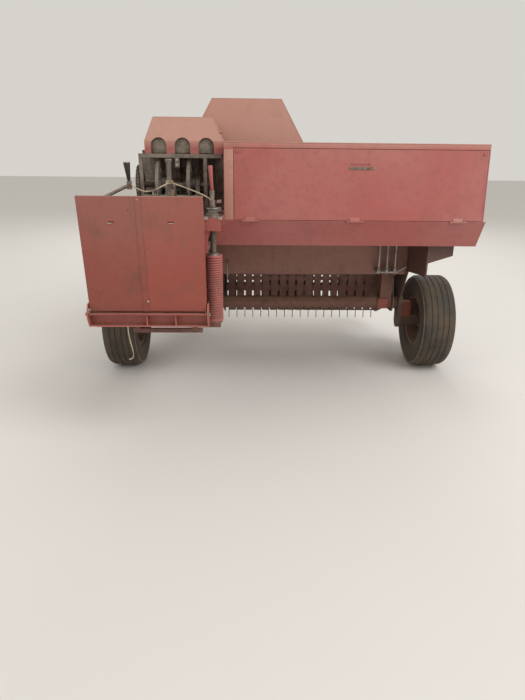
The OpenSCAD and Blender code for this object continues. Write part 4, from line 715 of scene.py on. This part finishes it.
class BALER_OT_springs(Operator):
    """Winds the two tension springs with their closed end turns, and the spindles' screw threads"""

    bl_idname = "baler.springs"
    bl_label = "Tension springs"

    def execute(self, context):
        wire = sizes().spring_wire * 1000
        foot, head = SPRING_Z[0] + wire / 2, SPRING_Z[1] - wire / 2
        wound, threads, coils, works = shapes(4)
        for low, high, turns in ((foot, head, sizes().spring_turns - 1), (foot - 0.5, foot + 0.5, 1),
                                 (head - 0.5, head + 0.5, 1)):
            coil(wound, (0, BEAM_Y, low), (0, BEAM_Y, high), COIL_R, wire, turns, steps=24, sides=10)
        for low, high, turns in ((SPRING_Z[1] + 6, BEAM_Z[0] - 2, 32),
                                 (BEAM_Z[1] + 43, BEAM_Z[1] + 58, 4)):
            coil(threads, (0, BEAM_Y, low), (0, BEAM_Y, high), THREAD_R, THREAD_WIRE, turns,
                 steps=12, sides=5)
        rod(threads, (0, BEAM_Y, SPRING_Z[1] - 8), (0, BEAM_Y, SPRING_Z[1] + 7), 37, 30, 24)
        both = [move((s * SPRING_X, 0, 0)) for s in (-1, 1)]
        copied(coils, wound, both)
        copied(works, threads, both)
        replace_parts(piece("spring_coils", coils, "spring"), "tension_springs")
        piece("spindle_threads", works, "works")
        return {"FINISHED"}


# Half of the tyre's outline, as distance from its middle and radius; over the tread, the share of its depth
TREAD = ((0, 0), (18, 0), (20, 1), (25, 1), (27, 0), (61, 0), (63, 1), (68, 1), (70, 0), (98, 0.1))
TYRE_SIDE = (
    (108, 369), (117, 360), (124, 346), (129, 330), (131.2, 312), (131.6, 306), (131, 304), (131.4, 296),
    (130.2, 282), (129, 279), (128, 277), (127.6, 262), (123, 240), (117, 226), (117, 222), (113, 218),
    (104, 207), (94, 199), (87, 195.5), (84, 196),
)


class BALER_OT_tyres(Operator):
    """Turns the two ribbed tyres with their shoulder lugs, and rings whose pale finish is painted highlight
    on the shoulders
    """

    bl_idname = "baler.tyres"
    bl_label = "Tyres"

    def execute(self, context):
        depth = sizes().tread_depth * 1000
        half = [(u, TYRE_R - 1 - depth * share) for u, share in TREAD] + list(TYRE_SIDE)
        outline = half + [(-u, r) for u, r in reversed(half)][:-1]
        for side, x in WHEEL_X.items():
            hub, body = (x, 0, TYRE_R), f"{side}_wheel"
            bm, ring = bmesh.new(), bmesh.new()
            turned(bm, outline, hub, RIGHT, steps=96)
            for s in (-1, 1):
                lug = bmesh.new()
                slab(lug, (-10, 10), (-7.5, 7.5), (-3.5, 3.5), 2.0,
                     move((s * 112, 0, 359)) @ turn(s * 0.62, "Y"), 1)
                copied(bm, lug, [move(hub) @ turn(math.tau * k / LUGS, "X") for k in range(LUGS)])
                turned(ring, [(s * 119, 357), (s * 121.5, 359.5), (s * 124.5, 353), (s * 122, 350)],
                       hub, RIGHT, steps=96)
            # The shoulder rings' pale finish is painted highlight.
            piece(f"{side}_tyre_highlight_rings", ring, "pale_painted_light", body)
            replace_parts(piece(f"{side}_ribbed_tyre", bm, "rubber", body, smooth=32), f"{side}_tyre")
        return {"FINISHED"}


class BALER_OT_wheel_fittings(Operator):
    """Adds wheel nuts, hub caps, tyre valves and the gauge wheel's bolts and ribs"""

    bl_idname = "baler.wheel_fittings"
    bl_label = "Wheel fittings"

    def execute(self, context):
        for side, x in WHEEL_X.items():
            s = -1 if side == "left" else 1
            out = (s, 0, 0)
            bm = bmesh.new()
            circle(nut, bm, (x + s * 20, 0, TYRE_R), STUD_CIRCLE_R, 6, out, 16)
            circle(bolt, bm, (x - s * 2, 0, TYRE_R), STUD_CIRCLE_R, 6, (-s, 0, 0), 14)
            bent(bm, [(x + s * u, 0, TYRE_R + r) for u, r in ((30, 172), (46, 168), (62, 158))], 3.4)
            rod(bm, (x + s * 60, 0, TYRE_R + 159), (x + s * 70, 0, TYRE_R + 153), 4.6, sides=10)
            piece(f"{side}_wheel_nuts", bm, "fastener", f"{side}_wheel")
            cap = bmesh.new()
            rod(cap, (x + s * 74, 0, TYRE_R), (x + s * 82, 0, TYRE_R), 34, 30, 28, edge=1.5)
            bolt(cap, (x + s * 82, 0, TYRE_R), out, 18)
            piece(f"{side}_spindle_nut", cap, "works")
        bolts, ribs = bmesh.new(), bmesh.new()
        circle(bolt, bolts, GAUGE + Vector((4, 0, 0)), 50, 5, RIGHT, 8)
        piece("gauge_wheel_bolts", bolts, "fastener", "gauge")
        for u in (-30, -15, 0, 15, 30):
            turned(ribs, [(u - 3.5, 198.5), (u - 2.5, 200), (u + 2.5, 200), (u + 3.5, 198.5)],
                   GAUGE, RIGHT, steps=72)
        piece("gauge_wheel_ribs", ribs, "rubber", "gauge")
        return {"FINISHED"}


class BALER_OT_chute_fittings(Operator):
    """Adds the chute's hems, seam rivets, slot lips and hinge pins"""

    bl_idname = "baler.chute_fittings"
    bl_label = "Chute fittings"

    def execute(self, context):
        bm, hems, pins = shapes(3)
        row(rivet, bm, (-40, 15, 170), (-40, 15, 560), 5, REAR, 3.6)
        spread(rivet, bm, (-310, -210, -110, 40, 150, 250), 18, 34, REAR, 3.6)
        for s, x in ((-1, -348), (1, 284)):
            spread(rivet, bm, x, 42, (120, 260, 400, 540), (s, 0, 0), 5)
        piece("chute_fasteners", bm, "chute", "chute", CHUTE)
        rod(hems, (-346, 21.5, 617), (282, 21.5, 617), 3.2, sides=10)
        for x in (-345.2, 281.2):
            rod(hems, (x, 21, 24), (x, 21, 617), 3.2, sides=10)
        piece("chute_hems", hems, "chute", "chute", CHUTE)
        for x, s in ((-363, -1), (299, 1)):
            rod(pins, (x, 0, 0), (x + s * 6, 0, 0), 10, sides=18, edge=1)
        bent(pins, [(-352, 0, 8), (-350, -4, 24), (-341, -6, 33), (-338, -4, 24)], 2.6)
        for x in (-191, 122):
            rod(pins, (x - 12, 15.5, 488.5), (x + 12, 15.5, 488.5), 2.2, sides=10)
        rod(pins, (CHUTE_SEAM_X, 16, 72), (CHUTE_SEAM_X, 7, 72), 6.5, 5.5, 16, edge=1)
        rod(pins, (-47, 16.2, 606), (-35, 16.2, 606), 2.2, sides=10)
        piece("chute_pins", pins, "pale", "chute", CHUTE)
        return {"FINISHED"}


class BALER_OT_chamber_fittings(Operator):
    """Adds the bolts of the chamber's ribs, roof, rails and cover, and its hay dogs"""

    bl_idname = "baler.chamber_fittings"
    bl_label = "Chamber fittings"

    def execute(self, context):
        bm, ends, dogs = shapes(3)
        rib_z = (868, 1030, 1192)
        spread(bolt, bm, -RIB_X, (-1375, -985, -595, -55, 425, 875, 1325, 1725), rib_z, LEFT)
        spread(bolt, bm, RIB_X, (-1375, -985, -595, 385, 875, 1325, 1725), rib_z, RIGHT)
        spread(bolt, bm, (-190, -110, 0, 110, 190), (-535, 425), 1248, UP, 9)
        spread(bolt, bm, (-160, 0, 160), (-620, -980, -1130), 1274, UP, 11)
        spread(rivet, bm, (-130, 30, 190), (-760, -880, -1080), 1250, UP, 8)
        for s in (-1, 1):
            out = (s, 0, 0)
            for ys, z, d in ((range(-1350, 1700, 240), 812, 9), (range(520, 1740, 150), 1240, 8),
                             ((-130, 50), 800, 14)):
                spread(bolt, bm, s * WALL_OUT, ys, z, out, d)
            bolt(bm, (s * 289, -1318, 1180), out, 16)
            bolt(bm, (s * 277, -1318, 1232), out, 10)
            slab(ends, (s * 372, s * 380), (-1352, -1248), (1270, 1348), 1.5)
            spread(bolt, ends, s * 380, (-1334, -1266), 1309, out, 8)
        piece("chamber_bolts", bm, "fastener")
        piece("beam_ends", ends, "chamber")
        for s, y, z in product((-1, 1), (-700, -520), (940, 1110)):
            slab(dogs, (s * 238, s * 262), (y - 30, y + 30), (z - 16, z + 16), 2)
            rod(dogs, (s * 255, y + 20, z - 24), (s * 255, y + 20, z + 24), 5, sides=10)
            coil(dogs, (s * 264, y - 22, z), (s * 286, y - 22, z), 8, 2.4, 6, steps=12, sides=5)
            rod(dogs, (s * 258, y - 22, z), (s * 290, y - 22, z), 3.5, sides=8)
        piece("hay_dogs", dogs, "works")
        return {"FINISHED"}


class BALER_OT_crank_grips(Operator):
    """Sleeves the two crank handles, and adds pale caps, washers and the rope's turns on its post"""

    bl_idname = "baler.crank_grips"
    bl_label = "Crank grips"

    def execute(self, context):
        left, right, caps, washers, wraps = shapes(5)
        rod(left, (-134.3, -1213.4, 1519), (-140.2, -1213.4, 1613.4), 8.2, 18.2, 24, edge=1)
        piece("left_crank_grip", left, "grip")
        rod(caps, (-140.2, -1213.4, 1613.4), (-140.6, -1213.4, 1620), 19.5, 18.5, 24, edge=1.5)
        slab(caps, (55, 89), (-1140, -1120), (1630, 1635), 1)
        for z in (1593, 1625):
            rod(caps, (30, -441, z), (30, -449, z), 8, sides=14, edge=1)
        for s in (-1, 1):
            # Pale tabs on the beam's top corners: painted highlight for the brackets' lit top faces.
            for x in ((s * 268, s * 296), (s * 352, s * 374)):
                slab(caps, x, (-1352.5, -1346), (1333, 1347), 1)
            for z, r, sides in ((1344, 42, 32), (1386, 31, 28)):
                rod(washers, (s * SPRING_X, BEAM_Y, z), (s * SPRING_X, BEAM_Y, z + 4), r, sides=sides,
                    edge=1)
        piece("pale_caps", caps, "pale")
        piece("crank_washers", washers, "rod")
        for k, z in enumerate((1504, 1511, 1518)):
            t = 1.5 * k
            bent(wraps, [(57 - t, -1130, z), (58, -1138, z), (72, -1139.5 - t, z + 2), (86, -1138, z),
                         (87 + t, -1130, z), (86, -1122, z), (72, -1120.5, z + 2), (58, -1122, z),
                         (57 - t, -1129, z + 1)], 3.4)
        piece("rope_wraps", wraps, "fibre")
        rod(right, (306.7, -1110.5, 1469), (298.7, -1110.5, 1603), 8.4, 13, 24, edge=2)
        piece("right_crank_grip", right, "panel")
        return {"FINISHED"}


class BALER_OT_box_fittings(Operator):
    """Adds studs, hems, a dark plate as painted shade in the door's handle slot, seams, rivets and twine eyes
    to the twine box
    """

    bl_idname = "baler.box_fittings"
    bl_label = "Twine box fittings"

    def execute(self, context):
        slope = move((0, BOX_REAR, BOX_Z[1])) @ turn(-math.atan2(DOOR_LEAN, DOOR_H), "X")
        studs, lip, grip, strip, rim, eyes, pegs, arm = shapes(8)
        for x in (440, 1984):
            rod(studs, (x, BOX_REAR + DOOR_LEAN - 8, 1680), (x, BOX_REAR + DOOR_LEAN - 2, 1680), 8, edge=1)
        piece("door_studs", studs, "panel", "door")
        for x in (426, 2003):
            slab(lip, (x - 3, x + 3), (-1.2, 1.5), (20, 420), 0.5)
        slab(lip, (1140, 1280), (4, 5.5), (322, 352))
        piece("door_hems", lip, "panel", "door", slope)
        # A dark plate in the handle slot: painted shade of its recess.
        slab(grip, (1138, 1300), (-3.5, 0.5), (312, 328), 1.5)
        piece("door_slot_shade", grip, "iron", "door", slope)
        slab(strip, (361, 416), (-1.2, 0.5), (6, 424), 0.4)
        piece("box_strip", strip, "worn", place=slope)
        rod(rim, (BOX_X[0], BOX_REAR + 46, 1734), (BOX_X[1], BOX_REAR + 46, 1734), 3.5, sides=10)
        for s, x in zip((-1, 1), BOX_X):
            for y, z, y_end, z_end, count in ((-720, 1712, -220, 1712, 7), (-745, 1300, -735, 1660, 4),
                                              (-215, 1300, -215, 1660, 4)):
                row(rivet, rim, (x, y, z), (x, y_end, z_end), count, (s, 0, 0), 6)
            slab(rim, (x, x + s * 3), (-500, -488), (1290, BOX_Z[2]), 0.8)
        row(rivet, rim, (400, -500, BOX_Z[3]), (1980, -500, BOX_Z[3]), 9, UP, 6)
        slab(rim, (362, 2014), (-512, -488), (1735, 1738.5), 0.8)
        row(rivet, rim, (440, -641, BOX_Z[0]), (1940, -641, BOX_Z[0]), 8, DOWN, 6)
        piece("box_seams", rim, "panel")
        for y, z in product((-560, -430, -300), (1380, 1580)):
            turned(eyes, [(0, 9), (5, 8), (6, 12), (5, 19), (0, 20)], (BOX_X[0], y, z), LEFT, 24)
        piece("twine_eyes", eyes, "rod")
        for x, s in product((524, 1188, 1852), (-1, 1)):
            rod(pegs, (x + s * 50, -809, 1268), (x + s * 54, -809, 1268), 6, sides=14)
        piece("door_pin_heads", pegs, "fastener")
        for y, z in ((-600, 1062), (-450, 1062), (-330, 1062), (-30, 600), (30, 600), (-60, 720), (60, 720),
                     (-100, 900), (120, 900), (-110, 1180), (120, 1180), (330, 1020), (330, 1180)):
            bolt(arm, (1748, y, z), RIGHT, 11)
        piece("side_plate_bolts", arm, "fastener")
        return {"FINISHED"}


class BALER_OT_hood_fittings(Operator):
    """Adds rivets, folds and a handle to the two hoods, and a pale sheet behind the arches as painted haze in
    their shade
    """

    bl_idname = "baler.hood_fittings"
    bl_label = "Hood fittings"

    def execute(self, context):
        hood, haze_sheet, cover = shapes(3)
        spread(rivet, hood, (-166, -11, 147, 310), -430, 1700, REAR, 6)
        row(rivet, hood, (-184, -400, 1715), (-184, 40, 1715), 6, LEFT, 6)
        rod(hood, (-131, -344, 1896), (260, -344, 1896), 2.6, sides=8)
        for low, high in ((-183, -133), (337, 261)):
            rod(hood, (low, -429, 1745), (high, -344, 1896), 2.6, sides=8)
            rod(hood, (low, -429, 1668), (low, -429, 1745), 2.4, sides=8)
        bent(hood, [(296, -360, 1800), (322, -358, 1806), (326, -310, 1808), (322, -262, 1806),
                    (296, -260, 1800)], 5)
        piece("hood_trim", hood, "panel", "hood")
        # A pale sheet behind the arches: painted haze in the recesses' shade.
        slab(haze_sheet, (-150, 286), (-402, -399), (1669, 1776), 1)
        piece("hood_haze_sheet", haze_sheet, "pale_painted_light", "hood")
        for y, y_top, out in ((75, 106, REAR), (450, 389, FORE)):
            row(rivet, cover, (90, y, 1716), (900, y, 1716), 8, out, 6)
            rod(cover, (239, y_top, 2056.5), (755, y_top, 2056.5), 2.4, sides=8)
        for s, low, high in ((-1, 71, 239), (1, 923, 755)):
            for y, y_top in ((76, 106), (449, 389)):
                rod(cover, (low, y, 1760), (high, y_top, 2057), 3, sides=8)
            spread(rivet, cover, low, (140, 260, 380), 1730, (s, 0, 0), 6)
        slab(cover, (490, 504), (74, 78), (1702, 1758), 0.8)
        piece("cover_trim", cover, "panel")
        return {"FINISHED"}


class BALER_OT_knotters(Operator):
    """Builds the knotters' bill hooks, twine discs, arms, springs and the drive chain"""

    bl_idname = "baler.knotters"
    bl_label = "Knotters"

    def execute(self, context):
        works, iron, springs, chain = shapes(4)
        y0, z0 = KNOTTER_Y, KNOTTER_Z
        for x in (-105, 105):
            for k in range(14):
                slab(iron, (-10, 10), (-5.5, 5.5), (166, 178), 1.5,
                     move((x, y0, z0)) @ turn(math.radians(-70 + k * 7.5), "X"), 1)
            turned(iron, [(-14, 150), (-12, 158), (12, 158), (14, 150), (12, 142), (-12, 142)],
                   (x, y0, z0), RIGHT, 48)
            for off in (0, 9, 18):
                turned(works, [(off, 12), (off, 44), (off + 5, 44), (off + 5, 12)],
                       (x + 28, y0 - 150, 1330), (0.25, 1, 0.1), 32)
            rod(works, (x + 20, y0 - 190, 1326), (x + 36, y0 - 96, 1336), 9, sides=14)
            for r, points in (
                    (6, ((10, -60, 1420), (6, -150, 1420), (4, -205, 1392), (6, -215, 1340),
                         (14, -190, 1296))),
                    (7, ((-20, -40, 1330), (-18, -120, 1300), (-6, -165, 1268), (20, -175, 1262))),
                    (4.5, ((30, -176, 1277), (26, -196, 1266), (12, -202, 1262), (2, -192, 1264)))):
                bent(works, [(x + dx, y0 + dy, z) for dx, dy, z in points], r)
            rod(works, (x + 48, y0 - 120, 1300), (x + 30, y0 - 178, 1276), 9, 6, sides=14)
            post = (x + 62, y0 - 128)
            coil(springs, (*post, 1290), (*post, 1372), 10, 3.6, 9, steps=14, sides=6)
            rod(springs, (*post, 1270), (*post, 1392), 4.5, sides=10)
            nut(springs, (*post, 1374), UP, 10)
            coil(springs, (x - 34, y0 + 70, 1300), (x - 34, y0 - 40, 1382), 11, 3.2, 16, steps=14, sides=6)
            slab(iron, (x + 82, x + 90), (y0 - 150, y0 + 40), (1236, 1262), 2)
            spread(bolt, iron, x + 62, (y0 - 120, y0 - 20, y0 + 80), 1244, UP, 10)
            rod(iron, (x + 38, y0 - 60, 1360), (x + 82, y0 - 60, 1360), 20, 17, 20, edge=2)
            bolt(iron, (x + 82, y0 - 60, 1360), RIGHT, 10)
            for dx in (-26, 20):
                slab(works, (x + dx, x + dx + 8), (y0 - 210, y0 - 60), (1226, 1240), 2)
        rod(works, (-190, y0 - 176, 1396), (196, y0 - 176, 1396), 8, sides=14)
        rod(works, (-222, y0 + 96, 1400), (222, y0 + 96, 1400), 12)
        for x in (-190, 0, 196):
            slab(iron, (x - 5, x + 5), (y0 - 186, y0 + 110), (1384, 1404), 2)
        slab(iron, (-5, 5), (y0 - 20, y0 + 20), (1218, 1440), 2)
        for x in ((186, 194), (-196, -188)):
            slab(iron, x, (y0 - 60, y0 + 110), (1218, 1404), 2)
        bent(works, [(25, -990, 1478), (28, -900, 1500), (26, -760, 1496), (25, -620, 1440)], 6)
        slab(iron, (-286, -252), (-38, -35), (1420, 1662), 1)
        slab(iron, (14, 46), (-441, -436), (1578, 1641), 1.5)
        piece("knotter_works", works, "works")
        piece("knotter_castings", iron, "iron")
        piece("knotter_springs", springs, "rod")
        for k in range(CHAIN_LINKS):
            link = move((-245, y0, z0)) @ turn(math.tau * k / CHAIN_LINKS, "X")
            for dx in ((-9, 9) if k % 2 else (-6, 6)):
                slab(chain, (dx - 1, dx + 1), (-11, 11), (121.5, 132.5), place=link)
            rod(chain, link @ Vector((-10, 0, 127)), link @ Vector((10, 0, 127)), 4, sides=8)
        piece("knotter_chain", chain, "works")
        return {"FINISHED"}


class BALER_OT_feeder_fittings(Operator):
    """Adds the feeder's tine clamps, rod nuts and roof bolts, the crop hook and the axle's sleeves"""

    bl_idname = "baler.feeder_fittings"
    bl_label = "Feeder fittings"

    def execute(self, context):
        nuts, hook, sleeve = shapes(3)
        for x in (441.2, 831.6, 1222, 1563.6):
            slab(nuts, (x - 26, x + 26), (71, 119), (1386, 1396), 1.5)
            spread(nut, nuts, (x - 18, x + 18), 95, 1396, UP, 11)
            for y in (84, 106):
                coil(nuts, (x, y, 1300), (x, y, 1334), 11, 5, 4, steps=14, sides=6)
        row(bolt, nuts, (320, 345, 1286), (1690, 345, 1286), 10, UP, 9)
        for x in (1508, 1570, 1632):
            for z in (853, 1070, 1088):
                rod(nuts, (x, -244, z), (x, -244, z + 9), 15, sides=6)
            rod(nuts, (x, -244, 812), (x, -244, 818), 10, sides=12)
        spread(bolt, nuts, (1498, 1642), -219, 828, DOWN, 9)
        piece("feeder_nuts", nuts, "fastener")
        bent(hook, [(350, -190, 896), (350, -226, 900), (350, -235, 888), (350, -235, 774),
                    (350, -226, 762), (350, -192, 764)], 3.2)
        piece("crop_hook", hook, "rod")
        slab(sleeve, (1568, 1652), (-60, 60), (488, 572), 4)
        slab(sleeve, (1768, 1858), (-30, 30), (405, 540), 4)
        piece("axle_sleeve", sleeve, "chute")
        return {"FINISHED"}


class BALER_OT_pickup_fittings(Operator):
    """Winds the tine coils and adds the pick-up's bolts, bearing, rivets, slats and clamps"""

    bl_idname = "baler.pickup_fittings"
    bl_label = "Pick-up fittings"

    def execute(self, context):
        coils, stamp, bolts, rivets, clamps = shapes(5)
        coil(stamp, (-12, -20.5, 154), (12, -20.5, 154), 16, 5.2, 3, steps=10, sides=5)
        bolt(stamp, (0, 12.5, 150), FORE, 8, washer=False)
        copied(coils, stamp, [
            move(REEL) @ turn(math.radians(b * 90 - 12), "X") @ move((TINE_X + i * TINE_PITCH, 0, 0))
            for b in range(4) for i in range(19)])
        piece("tine_coils", coils, "works", "reel")
        rod(bolts, (PICKUP_X[0], *REEL.yz), (PICKUP_X[0] - 9, *REEL.yz), 52, 44, 28, edge=2)
        circle(bolt, bolts, (PICKUP_X[0] - 4, *REEL.yz), 40, 4, LEFT, 9, start=0.5)
        for out, x in ((LEFT, PICKUP_X[0]), (RIGHT, PICKUP_X[1] + 8)):
            for y, z in ((300, 640), (300, 800), (420, 400), (640, 380), (700, 640), (90, 560)):
                bolt(bolts, (x, y, z), out, 9)
        for y, z in ((560, 610), (640, 500), (560, 440), (460, 480), (400, 700), (330, 850), (410, 860)):
            bolt(bolts, (PICKUP_X[1] + 38, y, z), RIGHT, 8)
        piece("pickup_bolts", bolts, "fastener", "pickup")
        for i in range(18):
            x = TINE_X + (i + 0.5) * TINE_PITCH
            rivet(rivets, (x, 234, 860), (0, -0.3, 1), 5)
            rivet(rivets, (x, 233, 700), REAR, 5)
        for z in ((563, 613), (655, 690)):
            slab(rivets, (320, 1668), (239.5, 242.5), z)
        piece("band_rivets", rivets, "feeder", "pickup")
        for p in along((400, 406, 1230), (1580, 406, 1230), 10):
            rod(clamps, p - Vector((9, 0, 0)), p + Vector((9, 0, 0)), 22, sides=20, edge=1)
        piece("guard_clamps", clamps, "works", "guard")
        return {"FINISHED"}


class BALER_OT_front_fittings(Operator):
    """Adds bolts, plugs and pins to the gearbox, flywheel, guard, frame, drawbar and jack"""

    bl_idname = "baler.front_fittings"
    bl_label = "Front fittings"

    def execute(self, context):
        gearbox, wheel, guard, base, bar, grip = shapes(6)
        spread(bolt, gearbox, (-136, 136), 1794, (880, 960, 1050, 1140, 1205), FORE, 13)
        for s in (-1, 1):
            circle(bolt, gearbox, (s * 150, 1900, SHAFT_Z), 72, 6, (s, 0, 0), 10)
            rod(gearbox, (s * 150, 1900, SHAFT_Z), (s * 156, 1900, SHAFT_Z), 44, 38, 24, edge=1.5)
        circle(bolt, gearbox, (0, 2080, SHAFT_Z), 62, 6, FORE, 9, start=0.5)
        bolt(gearbox, (0, 1900, 1190), UP, 22)
        rod(gearbox, (70, 1870, 1160), (70, 1870, 1196), 9, 6, 14)
        spread(bolt, gearbox, (-70, 70), (1820, 1960), 1160, UP, 9)
        piece("gearbox_bolts", gearbox, "fastener")
        circle(bolt, wheel, (0, 2204, SHAFT_Z), 50, 6, FORE, 11)
        bolt(wheel, (236, 2180, SHAFT_Z), FORE, 12)
        turned(wheel, [(0, 17), (0, 30), (22, 30), (26, 26), (26, 17)], (0, 2206, SHAFT_Z), FORE, 28)
        piece("flywheel_bolts", wheel, "works", "flywheel")
        for s in (-1, 1):
            rivet(guard, (s * 340, 2060, SHAFT_Z - 40), REAR, 6)
        for k in range(1, 10):
            a = math.radians(-90 + k * 18)
            rivet(guard, (357 * math.sin(a), 2063, SHAFT_Z + 340 * math.cos(a)), REAR, 6)
        piece("guard_rivets", guard, "chamber")
        rod(base, (0, 2450, 554), (0, 2450, 562), 36, 30, 28, edge=1.5)
        bent(base, [(-44, 2450, 558), (0, 2450, 566), (44, 2450, 558)], 3)
        for s in (-1, 1):
            spread(bolt, base, s * 220, (1190, 1700, 2000, 2300), 490, (s, 0, 0), 13)
            spread(bolt, base, s * 220, (1200, 1720), (600, 720), (s, 0, 0), 11)
        spread(bolt, base, (-190, -60, 60, 190), 1770, (820, 1300), FORE, 11)
        piece("frame_bolts", base, "fastener")
        for z, out in ((516, UP), (464, DOWN)):
            spread(bolt, bar, -90, (910, 990), z, out, 12)
        for y, z in ((1420, 503), (1450, 494)):
            spread(bolt, bar, (-26, 26), y, z, UP, 12)
        piece("drawbar_bolts", bar, "fastener", "tongue", TONGUE)
        rod(grip, (-235, 950, 886), (-235, 950, 968), 14, 13, 20, edge=3)
        piece("jack_handle_grip", grip, "grip", "tongue", TONGUE)
        return {"FINISHED"}


class BALER_OT_driveline_fittings(Operator):
    """Adds the driveline guard's ribs, bearing rings and yoke"""

    bl_idname = "baler.driveline_fittings"
    bl_label = "Driveline fittings"

    def execute(self, context):
        ribs, yoke = bmesh.new(), bmesh.new()
        a = Vector((0, 62, SHAFT_Z - 8))
        cradle = Vector((0, 1055, 735))
        b = cradle + (cradle - a) / (cradle.y - a.y) * 150
        d = (b - a).normalized()
        for u in (-86, -66, -46, -26):
            turned(ribs, [(u - 5, 81), (u - 2, 86), (u + 2, 86), (u + 5, 81)], a, d, 40)
        turned(ribs, [(-12, 42), (-8, 58), (8, 58), (14, 42)], a + d * 12, d, 36)
        for f in (0.3, 0.55):
            turned(ribs, [(-16, 41.5), (-14, 47), (14, 47), (16, 41.5)], a.lerp(b, f), d, 36)
        for u in (10, 26, 42, 58):
            turned(ribs, [(u - 4, 61), (u - 2, 66), (u + 2, 66), (u + 4, 61)], b, d, 36)
        piece("driveline_ribs", ribs, "plastic", "tongue", TONGUE)
        turned(yoke, [(150, 29), (150, 37), (176, 37), (180, 33), (186, 33), (186, 29)], b, d, 32)
        rod(yoke, b + d * 84 + Vector((-44, 0, 0)), b + d * 84 + Vector((44, 0, 0)), 15, sides=20, edge=1.5)
        for s in (-1, 1):
            slab(yoke, (s * 28, s * 38), (b.y + 62, b.y + 110), (b.z - 52, b.z - 8), 3)
        bolt(yoke, b + d * 164 + Vector((36, 0, 0)), RIGHT, 10)
        piece("driveline_yoke", yoke, "works", "tongue", TONGUE)
        return {"FINISHED"}


class BALER_OT_stage(Operator):
    """Lays the pale floor and hangs the soft lamps and the sky"""

    bl_idname = "baler.stage"
    bl_label = "Stage"

    def execute(self, context):
        bm = bmesh.new()
        bmesh.ops.create_grid(bm, x_segments=1, y_segments=1, size=FLOOR_SIZE)
        mesh = bpy.data.meshes.new("floor")
        bm.to_mesh(mesh)
        bm.free()
        floor = bpy.data.objects.new("floor", mesh)
        context.scene.collection.objects.link(floor)
        f = Finish("studio_floor", roughness=0.9, specular=0.2)
        shade = colours().floor
        mesh.materials.append(f.finished(f.mix(tint(shade), tint(shade, 0.97), f.noise(1.2, 3))))
        world = context.scene.world = bpy.data.worlds.new("sky")
        world.use_nodes = True
        sky = world.node_tree.nodes["Background"].inputs
        sky["Color"].default_value = (0.90, 0.87, 0.82, 1)
        sky["Strength"].default_value = SKY_STRENGTH
        for name, place, power in LAMPS:
            data = bpy.data.lights.new(name, "AREA")
            data.energy = power
            data.size = LAMP_SIZE
            lamp = bpy.data.objects.new(name, data)
            lamp.location = place
            lamp.rotation_euler = (Vector((0, 0, 0.9)) - Vector(place)).to_track_quat("-Z", "Y").to_euler()
            context.scene.collection.objects.link(lamp)
        context.scene.view_settings.view_transform = "Standard"
        return {"FINISHED"}


PIECE_OPERATORS = (
    BALER_OT_camera, BALER_OT_cords, BALER_OT_finishes, BALER_OT_springs, BALER_OT_tyres,
    BALER_OT_wheel_fittings, BALER_OT_chute_fittings, BALER_OT_chamber_fittings,
    BALER_OT_crank_grips, BALER_OT_box_fittings, BALER_OT_hood_fittings, BALER_OT_knotters,
    BALER_OT_feeder_fittings, BALER_OT_pickup_fittings, BALER_OT_front_fittings,
    BALER_OT_driveline_fittings, BALER_OT_stage,
)


class BALER_PT_tools(Panel):
    """The baler's sizes, colours and pieces"""

    bl_idname = "BALER_PT_tools"
    bl_label = "Square baler"
    bl_space_type = "VIEW_3D"
    bl_region_type = "UI"
    bl_category = "Baler"

    def draw(self, context):
        for group in (context.scene.baler_sizes, context.scene.baler_colours):
            box = self.layout.box()
            for name in group.__annotations__:
                box.prop(group, name)
        column = self.layout.column(align=True)
        for operator in PIECE_OPERATORS:
            column.operator(operator.bl_idname)


CLASSES = (BalerSizes, BalerColours, *PIECE_OPERATORS, BALER_PT_tools)


def register():
    for cls in CLASSES:
        bpy.utils.register_class(cls)
    bpy.types.Scene.baler_sizes = PointerProperty(type=BalerSizes)
    bpy.types.Scene.baler_colours = PointerProperty(type=BalerColours)


def unregister():
    del bpy.types.Scene.baler_colours
    del bpy.types.Scene.baler_sizes
    for cls in reversed(CLASSES):
        bpy.utils.unregister_class(cls)


def main():
    register()
    for operator in PIECE_OPERATORS:
        group, name = operator.bl_idname.split(".")
        getattr(getattr(bpy.ops, group), name)()


if __name__ == "__main__":
    main()
